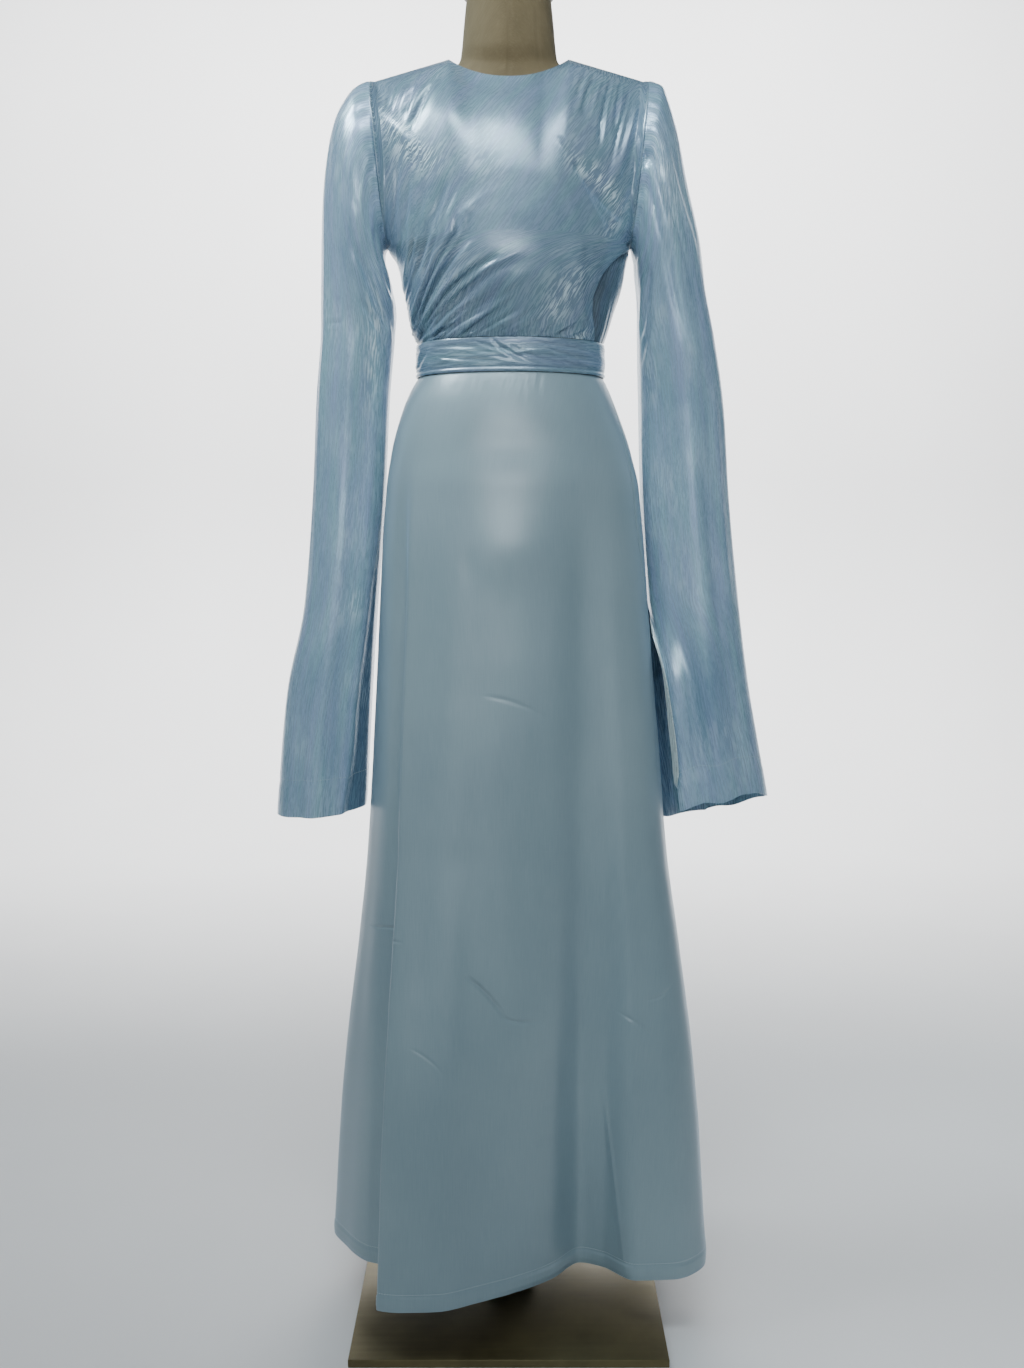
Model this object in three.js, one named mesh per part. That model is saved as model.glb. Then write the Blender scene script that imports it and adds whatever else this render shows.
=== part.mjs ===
import * as THREE from "three";

// A long satin dress with bell sleeves, worn by a limbless dress form on a square base plate.
// Units are millimetres. X runs to the viewer's right, Y to the back and Z up.
// The origin is the middle of the base plate's underside, and the front of the dress faces -Y.

const CLOTH = 1.6; // wall of every cloth piece
const SEAM = 0.3; // space left between two pieces at a seam
const SEAM_REACH = 60; // least distance of a seam from the middle, for its space as a turn
const SHOULDER_EASE = 0.3; // extra space on each side of a shoulder seam, where the cloth bends most

const ARMHOLE_GAP = 1.6; // step out from the bodice's edge to the sleeve's

const WAIST_TOP = 1241; // top of the waistband
const WAIST_LOW = 1200; // bottom of the waistband
const ARMPIT = 1360; // height of the bottom of the armholes
const SHOULDER = 1562; // height of the top of the armholes
const NECK_HALF = 74; // half of the neck hole's width
const NECK_CORNER = 1590; // height where the shoulder seam meets the neckline
const SHOULDER_HALF = 171; // half of the width between the tops of the armholes

const EDGE_INSET = 0.01; // share of a panel's width inside its edge where the edge's own direction is read
const SLEEVE_STEPS = 32; // cloth grid steps round a sleeve, and twice those on one side of an armhole
const RIGHT_ANGLE = Math.PI / 2;

// Half widths and depths of the bodice: a row for each height.
const BODICE = [
  { z: 1241, left: 113, right: 118, front: 94, back: 82 },
  { z: 1256, left: 121, right: 124, front: 103, back: 85 },
  { z: 1285, left: 127, right: 133, front: 115, back: 91 },
  { z: 1313, left: 133, right: 142, front: 124, back: 97 },
  { z: 1342, left: 140, right: 147, front: 127, back: 102 },
  { z: 1360, left: 151, right: 151, front: 126, back: 105 },
  { z: 1420, left: 157, right: 157, front: 114, back: 106 },
  { z: 1480, left: 163, right: 163, front: 100, back: 101 },
  { z: 1562, left: 171, right: 171, front: 82, back: 92 },
  { z: 1600, left: 171, right: 171, front: 74, back: 88 },
];

// The skirt's own rings, and how far each has spread from the hips to the hem's outline.
const SKIRT = [
  { z: 1200, left: 115, right: 119, front: 93, back: 82, flare: 0 },
  { z: 1165, left: 132, right: 134, front: 104, back: 98, flare: 0 },
  { z: 1104, left: 149, right: 155, front: 114, back: 116, flare: 0 },
  { z: 1060, left: 154, right: 163, front: 118, back: 122, flare: 0.02 },
  { z: 1000, left: 155, right: 164, front: 118, back: 124, flare: 0.07 },
  { z: 900, left: 155, right: 165, front: 116, back: 122, flare: 0.14 },
  { z: 760, left: 155, right: 168, front: 114, back: 120, flare: 0.24 },
  { z: 600, left: 155, right: 172, front: 112, back: 120, flare: 0.37 },
  { z: 480, left: 157, right: 180, front: 112, back: 120, flare: 0.52 },
  { z: 353, left: 160, right: 184, front: 114, back: 122, flare: 0.72 },
  { z: 222, left: 168, right: 188, front: 116, back: 124, flare: 0.87 },
  { z: 78, left: 170, right: 190, front: 118, back: 126, flare: 1 },
];

// The skirt's flutes: each ridge and valley has its direction at the hips and its point at the hem.
const FLUTES = [
  { hip: -180, x: -8, y: 216 },
  { hip: -162, x: -66, y: 176 },
  { hip: -144, x: -126, y: 196 },
  { hip: -124, x: -164, y: 132 },
  { hip: -104, x: -214, y: 92 },
  { hip: -90, x: -234, y: 12 },
  { hip: -76, x: -208, y: -46 },
  { hip: -66, x: -184, y: -80 },
  { hip: -60, x: -160, y: -96 },
  { hip: -55, x: -147, y: -146 },
  { hip: -49, x: -155, y: -197 },
  { hip: -41, x: -128, y: -210 },
  { hip: -28, x: -86, y: -208 },
  { hip: -14, x: -39, y: -187 },
  { hip: 2, x: 10, y: -160 },
  { hip: 17, x: 52, y: -128 },
  { hip: 32, x: 90, y: -84 },
  { hip: 43, x: 118, y: -96 },
  { hip: 54, x: 158, y: -131 },
  { hip: 66, x: 206, y: -128 },
  { hip: 78, x: 250, y: -88 },
  { hip: 90, x: 258, y: -14 },
  { hip: 104, x: 222, y: 62 },
  { hip: 120, x: 186, y: 150 },
  { hip: 138, x: 132, y: 150 },
  { hip: 158, x: 70, y: 204 },
  { hip: 180, x: -8, y: 216 },
];

const HEM = 78; // height of the skirt's lower edge
// Distance of the skirt's seams from the middle, for their space as a turn.
const SEAM_AT_WAIST = 45;
const SEAM_AT_HEM = 130;

// Long folds that start below the waist: direction and width in degrees, the height where each begins,
// and the share of its rise that is left at the hem.
const SKIRT_FOLDS = [
  { turn: -55, rise: -6, wide: 5, top: 1120, foot: 1 },
  { turn: -48, rise: 4, wide: 5, top: 1120, foot: 1 },
  { turn: 35, rise: -4, wide: 10, top: 1110, foot: 0 },
  { turn: 62, rise: 3, wide: 9, top: 1000, foot: 0.5 },
  { turn: -150, rise: -4, wide: 11, top: 1100, foot: 0.5 },
  { turn: 166, rise: 4, wide: 11, top: 1080, foot: 0.5 },
  { turn: 128, rise: -4, wide: 10, top: 1060, foot: 0.5 },
];

// Direction of the right side seam of the skirt, which sits a little forward below the waist.
const RIGHT_SEAM = [
  { z: 78, turn: 86 },
  { z: 700, turn: 84 },
  { z: 900, turn: 79 },
  { z: 1060, turn: 70 },
  { z: 1130, turn: 74 },
  { z: 1200, turn: 86 },
];

// Large folds of the draped front. Each runs from a low end to a high end; a negative rise is a trough.
const DRAPE_FOLDS = [
  { x0: -116, z0: 1262, x1: -48, z1: 1372, wide: 9, rise: -11 },
  { x0: -112, z0: 1246, x1: -20, z1: 1320, wide: 9, rise: -11 },
  { x0: -104, z0: 1236, x1: -2, z1: 1294, wide: 7, rise: -8 },
  { x0: -60, z0: 1234, x1: 8, z1: 1276, wide: 7, rise: -6 },
  { x0: -124, z0: 1290, x1: -76, z1: 1420, wide: 9, rise: -6 },
  { x0: 94, z0: 1262, x1: 76, z1: 1352, wide: 8, rise: 5 },
  { x0: 77, z0: 1443, x1: 130, z1: 1398, wide: 9, rise: -6 },
  { x0: 92, z0: 1420, x1: 126, z1: 1384, wide: 7, rise: -5 },
];

// Pleats that run down from the shoulder seams.
const SHOULDER_PLEATS = [
  { x0: 109, z0: 1562, x1: 89, z1: 1496, wide: 6, rise: -4 },
  { x0: 127, z0: 1562, x1: 108, z1: 1462, wide: 7, rise: -5 },
  { x0: 154, z0: 1530, x1: 124, z1: 1418, wide: 9, rise: 5 },
  { x0: -101, z0: 1562, x1: -124, z1: 1510, wide: 6, rise: -4 },
  { x0: -83, z0: 1556, x1: -116, z1: 1484, wide: 7, rise: -4 },
  { x0: -162, z0: 1530, x1: -104, z1: 1456, wide: 9, rise: 4 },
];

// Direction of the draped front's right edge: its seam from the armpit, then the loose edge over the bust.
const DRAPE_EDGE = [
  { z: 1241, turn: 62 },
  { z: 1257, turn: 56 },
  { z: 1273, turn: 51 },
  { z: 1289, turn: 49 },
  { z: 1304, turn: 50 },
  { z: 1318, turn: 53 },
  { z: 1331, turn: 59 },
  { z: 1341, turn: 66 },
  { z: 1348, turn: 73 },
  { z: 1354, turn: 81 },
  { z: 1360, turn: 90 },
];

// Sleeve rings from the armhole to the cuff. Each is spanned between an inner and an outer point,
// with its middle set back, and its front tipped up.
const LEFT_SLEEVE = [
  { inX: 151, inZ: 1360, outX: 171, outZ: 1562, mid: 0, front: 62, back: 62, folds: 0, tip: 0 },
  { inX: 153, inZ: 1352, outX: 190, outZ: 1552, mid: 0, front: 66, back: 66, folds: 0.2, tip: 0 },
  { inX: 153, inZ: 1342, outX: 212, outZ: 1516, mid: 0, front: 68, back: 68, folds: 0.4, tip: 0 },
  { inX: 149, inZ: 1328, outX: 223, outZ: 1470, mid: 3, front: 68, back: 68, folds: 0.5, tip: 0 },
  { inX: 145, inZ: 1310, outX: 230, outZ: 1405, mid: 6, front: 64, back: 66, folds: 0.6, tip: 0 },
  { inX: 141, inZ: 1282, outX: 233, outZ: 1330, mid: 10, front: 58, back: 60, folds: 0.6, tip: 0 },
  { inX: 143, inZ: 1250, outX: 236, outZ: 1256, mid: 14, front: 52, back: 54, folds: 0.6, tip: 0 },
  { inX: 150, inZ: 1180, outX: 243, outZ: 1180, mid: 20, front: 52, back: 54, folds: 0.7, tip: 0 },
  { inX: 158, inZ: 1050, outX: 251, outZ: 1050, mid: 28, front: 56, back: 58, folds: 0.8, tip: 0 },
  { inX: 169, inZ: 915, outX: 263, outZ: 915, mid: 28, front: 60, back: 62, folds: 0.9, tip: 0 },
  { inX: 178, inZ: 800, outX: 286, outZ: 800, mid: 28, front: 64, back: 66, folds: 1, tip: 0 },
  { inX: 187, inZ: 655, outX: 299, outZ: 643, mid: 26, front: 70, back: 72, folds: 1.2, tip: 0 },
];

const RIGHT_SLEEVE = [
  { inX: 151, inZ: 1360, outX: 171, outZ: 1562, mid: 0, front: 62, back: 62, folds: 0, tip: 0 },
  { inX: 153, inZ: 1352, outX: 187, outZ: 1556, mid: 0, front: 66, back: 66, folds: 0.2, tip: 0 },
  { inX: 155, inZ: 1342, outX: 204, outZ: 1510, mid: 0, front: 68, back: 68, folds: 0.4, tip: 0 },
  { inX: 156, inZ: 1328, outX: 219, outZ: 1440, mid: 3, front: 68, back: 68, folds: 0.5, tip: 0 },
  { inX: 158, inZ: 1310, outX: 236, outZ: 1370, mid: 6, front: 64, back: 66, folds: 0.6, tip: 0 },
  { inX: 160, inZ: 1282, outX: 246, outZ: 1305, mid: 8, front: 60, back: 62, folds: 0.6, tip: 0 },
  { inX: 161, inZ: 1246, outX: 258, outZ: 1246, mid: 10, front: 58, back: 60, folds: 0.6, tip: 0 },
  { inX: 164, inZ: 1170, outX: 271, outZ: 1170, mid: 20, front: 58, back: 60, folds: 0.7, tip: 0 },
  { inX: 168, inZ: 1050, outX: 281, outZ: 1050, mid: 26, front: 60, back: 62, folds: 0.8, tip: 0 },
  { inX: 176, inZ: 940, outX: 293, outZ: 940, mid: 30, front: 64, back: 66, folds: 0.9, tip: 0 },
  { inX: 188, inZ: 820, outX: 307, outZ: 820, mid: 30, front: 68, back: 70, folds: 1, tip: 0 },
  { inX: 202, inZ: 636, outX: 334, outZ: 664, mid: 28, front: 74, back: 76, folds: 1.2, tip: 20 },
];

// Long soft folds round a sleeve: direction from its front, depth and how far the fold leans on its way down.
const SLEEVE_FOLDS = [
  { turn: -122, rise: -4, wide: 15, lean: 6 },
  { turn: -62, rise: 2.5, wide: 14, lean: -6 },
  { turn: -28, rise: -2.5, wide: 13, lean: 8 },
  { turn: 4, rise: 2.5, wide: 14, lean: 4 },
  { turn: 38, rise: -2.5, wide: 14, lean: -8 },
  { turn: 66, rise: 2, wide: 13, lean: 5 },
  { turn: 118, rise: 4, wide: 15, lean: -6 },
  { turn: 150, rise: -4, wide: 15, lean: 6 },
  { turn: -158, rise: 4, wide: 15, lean: -4 },
];

// The slit of the right sleeve: how far its front and back edges stand from the underarm seam,
// how far the front edge curls forward, and how far the back edge reaches inward.
const SLIT = [
  { z: 640, front: 38, back: 12, curl: 20, tail: 8 },
  { z: 820, front: 35, back: 10, curl: 18, tail: 8 },
  { z: 880, front: 20, back: 5, curl: 9, tail: 4 },
  { z: 930, front: 0, back: 0, curl: 0, tail: 0 },
  { z: 1600, front: 0, back: 0, curl: 0, tail: 0 },
];

// The left sleeve's inner band is pressed back behind a fold: the fold's direction and the band's depth.
const PRESSED_FOLD = [
  { z: 655, turn: 34, deep: 18 },
  { z: 720, turn: 42, deep: 17 },
  { z: 800, turn: 45, deep: 14 },
  { z: 930, turn: 54, deep: 9 },
  { z: 1060, turn: 64, deep: 0 },
  { z: 1600, turn: 64, deep: 0 },
];

// The form's rings from the hips to the neck: the sides stand lower than the front where a ring rises.
const FORM = [
  { side: 930, middle: 930, half: 138, front: 92, back: 98 },
  { side: 990, middle: 990, half: 148, front: 104, back: 110 },
  { side: 1060, middle: 1060, half: 145, front: 104, back: 108 },
  { side: 1130, middle: 1130, half: 128, front: 94, back: 94 },
  { side: 1190, middle: 1190, half: 109, front: 86, back: 76 },
  { side: 1240, middle: 1240, half: 107, front: 84, back: 74 },
  { side: 1290, middle: 1290, half: 118, front: 94, back: 82 },
  { side: 1330, middle: 1334, half: 130, front: 106, back: 90 },
  { side: 1368, middle: 1380, half: 141, front: 106, back: 94 },
  { side: 1430, middle: 1430, half: 148, front: 94, back: 94 },
  { side: 1494, middle: 1472, half: 152, front: 80, back: 86 },
  { side: 1549.5, middle: 1502, half: 150, front: 70, back: 77 },
  { side: 1565.5, middle: 1526, half: 136, front: 58, back: 66 },
  { side: 1575, middle: 1542, half: 106, front: 48, back: 58 },
  { side: 1577, middle: 1555, half: 74, front: 36, back: 46 },
  { side: 1586, middle: 1574, half: 61, front: 35, back: 45 },
  { side: 1604, middle: 1598, half: 58, front: 41, back: 51 },
  { side: 1626, middle: 1622, half: 56, front: 42, back: 51 },
  { side: 1664, middle: 1664, half: 52, front: 41, back: 49 },
];

const PLATE_WIDE = 390;
const PLATE_THICK = 10;
const POLE_RADIUS = 14;
const COLLAR_RADIUS = 34;
const COLLAR_TALL = 22;

const COLOURS = {
  satin: 0xaec3cf,
  skirt: 0x8fa7b8,
  linen: 0xcbbfa9,
  bronze: 0x6f5a42,
  steel: 0x9a9a98,
  wood: 0x6b4a30,
};

const group = new THREE.Group();

function addSolid(name, geometry, colour) {
  const material = new THREE.MeshStandardMaterial({ color: colour, side: THREE.DoubleSide });
  const mesh = new THREE.Mesh(geometry, material);
  mesh.name = name;
  group.add(mesh);
}

const mix = (from, to, share) => from + (to - from) * share;
const clamp = (value, low = 0, high = 1) => Math.min(high, Math.max(low, value));
const radians = (degrees) => (degrees * Math.PI) / 180;

function ease(low, high, value) {
  const share = clamp((value - low) / (high - low));
  return share * share * (3 - 2 * share);
}

function bump(distance, wide) {
  return Math.exp(-((distance / wide) ** 2));
}

// Smooth value of one column of a table at a place along another, without swinging past the rows.
function along(rows, key, place, column) {
  const last = rows.length - 1;
  const sign = rows[last][key] > rows[0][key] ? 1 : -1;
  const at = clamp(sign * place, sign * rows[0][key], sign * rows[last][key]);
  let low = 0;
  while (low < last - 1 && sign * rows[low + 1][key] < at) low += 1;
  const step = (row) => sign * (rows[row + 1][key] - rows[row][key]);
  const slope = (row) => (rows[row + 1][column] - rows[row][column]) / step(row);
  const tangent = (row) => {
    if (row === 0) return slope(0);
    if (row === last) return slope(last - 1);
    const before = slope(row - 1);
    const after = slope(row);
    return before * after <= 0 ? 0 : (2 * before * after) / (before + after);
  };
  const wide = step(low);
  const share = (at - sign * rows[low][key]) / wide;
  const start = rows[low][column];
  const end = rows[low + 1][column];
  const square = share * share;
  const cube = square * share;
  return (
    start * (2 * cube - 3 * square + 1) +
    end * (3 * square - 2 * cube) +
    wide * tangent(low) * (cube - 2 * square + share) +
    wide * tangent(low + 1) * (cube - square)
  );
}

// Outward direction of a cloth surface whose u runs to the right and v runs up, seen from outside.
function outward(point, u, v) {
  const step = 1e-4;
  const inside = clamp(u, EDGE_INSET, 1 - EDGE_INSET);
  const [left, right] = [point(inside - step, v), point(inside + step, v)];
  const [low, high] = [point(u, v - step), point(u, v + step)];
  const across = new THREE.Vector3(...right).sub(new THREE.Vector3(...left));
  const up = new THREE.Vector3(...high).sub(new THREE.Vector3(...low));
  return across.cross(up).normalize();
}

function steps(count, from = 0, to = 1) {
  return Array.from({ length: count + 1 }, (_, index) => mix(from, to, index / count));
}

// A closed cloth wall: its outside follows the surface, and its inside lies one wall further in.
function clothWall(point, us, vs, outside = 0) {
  const corners = [];
  const wide = us.length;
  const tall = vs.length;
  for (const depth of [outside, outside - CLOTH]) {
    for (const v of vs) {
      for (const u of us) {
        const normal = outward(point, u, v);
        const [x, y, z] = point(u, v);
        corners.push(x + normal.x * depth, y + normal.y * depth, z + normal.z * depth);
      }
    }
  }
  const outer = (column, row) => row * wide + column;
  const inner = (column, row) => wide * tall + outer(column, row);
  const faces = [];
  const [lastColumn, lastRow] = [wide - 1, tall - 1];
  const addQuad = (a, b, c, d) => faces.push(a, b, c, a, c, d);
  for (let row = 0; row < lastRow; row += 1) {
    for (let column = 0; column < lastColumn; column += 1) {
      const [right, above] = [column + 1, row + 1];
      addQuad(outer(column, row), outer(right, row), outer(right, above), outer(column, above));
      addQuad(inner(column, row), inner(column, above), inner(right, above), inner(right, row));
    }
  }
  for (let column = 0; column < lastColumn; column += 1) {
    const right = column + 1;
    addQuad(inner(column, 0), inner(right, 0), outer(right, 0), outer(column, 0));
    addQuad(outer(column, lastRow), outer(right, lastRow), inner(right, lastRow), inner(column, lastRow));
  }
  for (let row = 0; row < lastRow; row += 1) {
    const [side, above] = [lastColumn, row + 1];
    addQuad(outer(0, row), outer(0, above), inner(0, above), inner(0, row));
    addQuad(inner(side, row), inner(side, above), outer(side, above), outer(side, row));
  }
  return indexed(corners, faces);
}

function indexed(corners, faces) {
  const geometry = new THREE.BufferGeometry();
  geometry.setAttribute("position", new THREE.Float32BufferAttribute(corners, 3));
  geometry.setIndex(faces);
  geometry.computeVertexNormals();
  return geometry;
}

// A point of a ring that is wider or deeper on one side than on the other.
function ringPoint(rows, z, turn) {
  const across = Math.sin(turn);
  const deep = Math.cos(turn);
  const half = along(rows, "z", z, across < 0 ? "left" : "right");
  const depth = along(rows, "z", z, deep > 0 ? "front" : "back");
  return [half * across, -depth * deep, z];
}

// ---- Bodice ----

// Sum of the folds at a place of the front. Each one fades out at its ends.
function foldRise(rows, x, z) {
  let rise = 0;
  for (const row of rows) {
    const runX = row.x1 - row.x0;
    const runZ = row.z1 - row.z0;
    const long = Math.hypot(runX, runZ);
    const place = ((x - row.x0) * runX + (z - row.z0) * runZ) / (long * long);
    const off = ((x - row.x0) * runZ - (z - row.z0) * runX) / long;
    const fade = ease(-0.12, 0.1, place) * (1 - ease(0.72, 1.12, place));
    rise += row.rise * fade * bump(off, row.wide);
  }
  return rise;
}

// Height of the top edge over a place across the body: the shoulder seam, then the neckline.
function topHeight(x, neckDrop) {
  const out = Math.abs(x);
  if (out >= NECK_HALF) {
    return mix(NECK_CORNER, SHOULDER, (out - NECK_HALF) / (SHOULDER_HALF - NECK_HALF));
  }
  return NECK_CORNER - neckDrop * (1 - (out / NECK_HALF) ** 2.4);
}

// Half of an armhole, front or back: how far it stands from the shoulder line at a height.
function armholeDepth(z) {
  const middle = (ARMPIT + SHOULDER) / 2;
  const share = clamp((z - middle) / (SHOULDER - middle), -1, 1);
  return 62 * Math.sqrt(1 - share * share);
}

// Places up a panel: even to the armpit, then at the same heights as the sleeve's own points.
const ARM_ROWS = SLEEVE_STEPS / 2;
const ARM_TURNS = steps(ARM_ROWS, -RIGHT_ANGLE, RIGHT_ANGLE).slice(1);
const UPPER_ROWS = ARM_TURNS.map((turn) => 0.75 + 0.25 * Math.sin(turn));
const EDGE_ROWS = DRAPE_EDGE.map((row) => (row.z - WAIST_TOP) / (ARMPIT - WAIST_TOP) / 2);

// A point of the bodice. side is -1 in front and 1 behind; turn is 0 in the middle and grows to the right.
function bodicePoint(side, turn, v, low = WAIST_TOP + SEAM) {
  const across = Math.sin(turn);
  const neckDrop = side < 0 ? 37 : 10;
  const neckDeep = side < 0 ? 58 : 64;
  const topX = across * SHOULDER_HALF;
  const top = topHeight(topX, neckDrop);
  const upper = clamp(v * 2 - 1);
  const even = 0.5 + Math.asin(clamp(upper * 2 - 1, -1, 1)) / Math.PI;
  const climb = mix(even, upper, ease(0.8, 1, Math.abs(across)));
  const z = v < 0.5 ? mix(low, ARMPIT, v * 2) : mix(ARMPIT, top, climb);
  const half = along(BODICE, "z", Math.min(z, SHOULDER), across < 0 ? "left" : "right");
  const column = side < 0 ? "front" : "back";
  const depth = along(BODICE, "z", z, column);
  const risen = ease(ARMPIT - 12, ARMPIT + 90, z);
  const edge = armholeDepth(mix(ARMPIT, SHOULDER, upper));
  const round = Math.max(Math.cos(turn), 0) ** mix(1, 1.25, risen);
  const wall = depth * round + edge * (1 - round) ** 2.5;
  const outOfNeck = clamp(Math.abs(topX) / NECK_HALF);
  const topY = neckDeep * (1 - outOfNeck ** 2.6);
  const over = Math.sqrt(Math.max(0, 1 - climb ** 4));
  const eased = v < 0.5 ? 1 : mix(1 - climb ** 3, over, ease(0.5, 1, outOfNeck));
  const atEdge = v < 0.5 ? 0 : ease(0.94, 1, Math.abs(across));
  const y = mix(topY + (wall - topY) * eased, edge, atEdge);
  const gap = SEAM / 2 + SHOULDER_EASE * ease(0.6, 1, v);
  return [half * across, side * (y + gap), z];
}

function drapePoint(u, v) {
  const turnEnd = v < 0.5 ? along(DRAPE_EDGE, "z", mix(WAIST_TOP, ARMPIT, v * 2), "turn") : 90;
  const turn = mix(-RIGHT_ANGLE, radians(turnEnd), u);
  const [x, y, z] = bodicePoint(-1, turn, v);
  const quiet = ease(0, 0.06, u) * (1 - ease(0.93, 1, u)) * (1 - ease(0.9, 1, v)) * ease(0, 0.05, v);
  const rise = (foldRise(DRAPE_FOLDS, x, z) + foldRise(SHOULDER_PLEATS, x, z)) * quiet;
  const lift = 2 * ease(0.75, 1, u) * (1 - ease(0.2, 0.42, v));
  return [x + Math.sin(turn) * (rise + lift) * 0.6, y - Math.cos(turn * 0.8) * (rise + lift), z];
}

// Places across the bodice, with one at each end of the neckline.
const NECK_TURN = Math.asin(NECK_HALF / SHOULDER_HALF) / RIGHT_ANGLE;
const DRAPE_COLUMNS = [
  ...steps(9, 0, (1 - NECK_TURN) / 2),
  ...steps(8, (1 - NECK_TURN) / 2, (1 + NECK_TURN) / 2).slice(1),
  ...steps(9, (1 + NECK_TURN) / 2, 1).slice(1),
];
const BACK_COLUMNS = [...steps(7, 0, 1 - NECK_TURN), ...steps(3, 1 - NECK_TURN, 1).slice(1)];

const drapeWall = clothWall(drapePoint, DRAPE_COLUMNS, [...EDGE_ROWS, ...UPPER_ROWS]);
addSolid("bodice_front_drape", drapeWall, COLOURS.satin);

// The side panel runs under the draped front's edge by this many degrees, one wall further in.
const TUCK = 9;

function sidePanelPoint(u, v) {
  const edge = along(DRAPE_EDGE, "z", mix(WAIST_TOP, ARMPIT, v * 2), "turn");
  const turn = mix(radians(edge - TUCK), RIGHT_ANGLE, u);
  const [x, y, z] = bodicePoint(-1, turn, v);
  const under = 1 - ease(1, TUCK, (turn * 180) / Math.PI - edge);
  const inset = under * (CLOTH + 4 * SEAM);
  return [x - Math.sin(turn) * inset, y + Math.cos(turn) * inset, z];
}

const sidePanelWall = clothWall(sidePanelPoint, steps(8), EDGE_ROWS.slice(0, -1));
addSolid("bodice_front_side", sidePanelWall, COLOURS.satin);

// Half of the opening in the centre back seam: a keyhole below the neck.
function keyhole(z) {
  return SEAM / 2 + 7 * bump(z - 1518, 26) * ease(1460, 1500, z) * (1 - ease(1545, 1566, z));
}

function backPoint(hand) {
  return (u, v) => {
    const share = hand > 0 ? u : 1 - u;
    const turn = hand * mix(RIGHT_ANGLE, 0, share);
    const [x, y, z] = bodicePoint(1, turn, v);
    const shift = hand * keyhole(z) * ease(0.55, 1, share);
    return [x + shift, y, z];
  };
}

const BACK_ROWS = [...steps(5, 0, 0.5), ...UPPER_ROWS];
const LEFT_BACK_COLUMNS = BACK_COLUMNS.map((u) => 1 - u).reverse();
addSolid("bodice_back_right", clothWall(backPoint(1), BACK_COLUMNS, BACK_ROWS), COLOURS.satin);
addSolid("bodice_back_left", clothWall(backPoint(-1), LEFT_BACK_COLUMNS, BACK_ROWS), COLOURS.satin);

// The button and its thread loop lie on the back of the neck, over the top of the keyhole.
const BUTTON_RADIUS = 4.5;
const BUTTON_THICK = 2.6;
const LOOP_RADIUS = 6;
const LOOP_THICK = 0.7;
const BUTTON_PLACE = 0.9965; // share of the way up the back

function layOnBack(geometry, v, lift) {
  const [, y, z] = bodicePoint(1, 0.02, v);
  const normal = outward((u, height) => bodicePoint(1, (1 - u) * RIGHT_ANGLE, height), 0.98, v);
  const lean = Math.atan2(normal.z, normal.y);
  geometry.rotateX(lean);
  geometry.translate(0, y + Math.cos(lean) * lift, z + Math.sin(lean) * lift);
  return geometry;
}

function buttonShape() {
  const half = BUTTON_THICK / 2;
  const outline = [
    new THREE.Vector2(0, -half),
    new THREE.Vector2(BUTTON_RADIUS - 0.8, -half),
    new THREE.Vector2(BUTTON_RADIUS, -half + 0.8),
    new THREE.Vector2(BUTTON_RADIUS, half - 1),
    new THREE.Vector2(BUTTON_RADIUS - 1.4, half),
    new THREE.Vector2(0, half),
  ];
  return new THREE.LatheGeometry(outline, 16);
}

function loopShape() {
  const ring = new THREE.TorusGeometry(LOOP_RADIUS, LOOP_THICK, 6, 18);
  return ring.rotateX(RIGHT_ANGLE);
}

addSolid("neck_button", layOnBack(buttonShape(), BUTTON_PLACE, BUTTON_THICK / 2 + 2 * SEAM), COLOURS.satin);
addSolid("neck_loop", layOnBack(loopShape(), BUTTON_PLACE, LOOP_THICK + 2 * SEAM), COLOURS.satin);

// ---- Waistband ----

function bandPoint(fromTurn, toTurn) {
  return (u, v) => {
    const z = mix(WAIST_LOW + SEAM, WAIST_TOP, v);
    const turn = mix(fromTurn, toTurn, u);
    const [x, y] = ringPoint(SKIRT, WAIST_LOW, turn);
    const swell = 1.2 + 0.8 * Math.sin(Math.PI * v);
    return [x + Math.sin(turn) * swell, y - Math.cos(turn) * swell, z];
  };
}

const bandGap = SEAM / 2 / SEAM_REACH;
const frontBand = bandPoint(-RIGHT_ANGLE + bandGap, RIGHT_ANGLE - bandGap);
const backBand = bandPoint(RIGHT_ANGLE + bandGap, 3 * RIGHT_ANGLE - bandGap);
addSolid("waistband_front", clothWall(frontBand, steps(24), steps(3)), COLOURS.satin);
addSolid("waistband_back", clothWall(backBand, steps(20), steps(3)), COLOURS.satin);

// ---- Skirt ----

function wrapDegrees(degrees) {
  return ((((degrees + 180) % 360) + 360) % 360) - 180;
}

function skirtPoint(turn, z) {
  const degrees = wrapDegrees((turn * 180) / Math.PI);
  const [ringX, ringY] = ringPoint(SKIRT, z, turn);
  const flare = along(SKIRT, "z", z, "flare");
  const hemX = along(FLUTES, "hip", degrees, "x");
  const hemY = along(FLUTES, "hip", degrees, "y");
  let rise = 0;
  for (const fold of SKIRT_FOLDS) {
    const begun = 1 - ease(fold.top - 200, fold.top, z);
    const left = begun * mix(1, fold.foot, flare);
    rise += fold.rise * left * bump(wrapDegrees(degrees - fold.turn), fold.wide);
  }
  const x = mix(ringX, hemX, flare) + Math.sin(turn) * rise;
  const y = mix(ringY, hemY, flare) - Math.cos(turn) * rise;
  return [x, y, z];
}

// Half of the gap at a skirt seam, as a turn about the middle: about as wide at the waist as at the hem.
function skirtGap(z) {
  return SEAM / 2 / mix(SEAM_AT_WAIST, SEAM_AT_HEM, along(SKIRT, "z", z, "flare"));
}

function skirtFront(u, v) {
  const z = mix(HEM, WAIST_LOW, v);
  const seam = radians(along(RIGHT_SEAM, "z", z, "turn"));
  return skirtPoint(mix(-RIGHT_ANGLE + skirtGap(z), seam - skirtGap(z), u), z);
}

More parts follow.
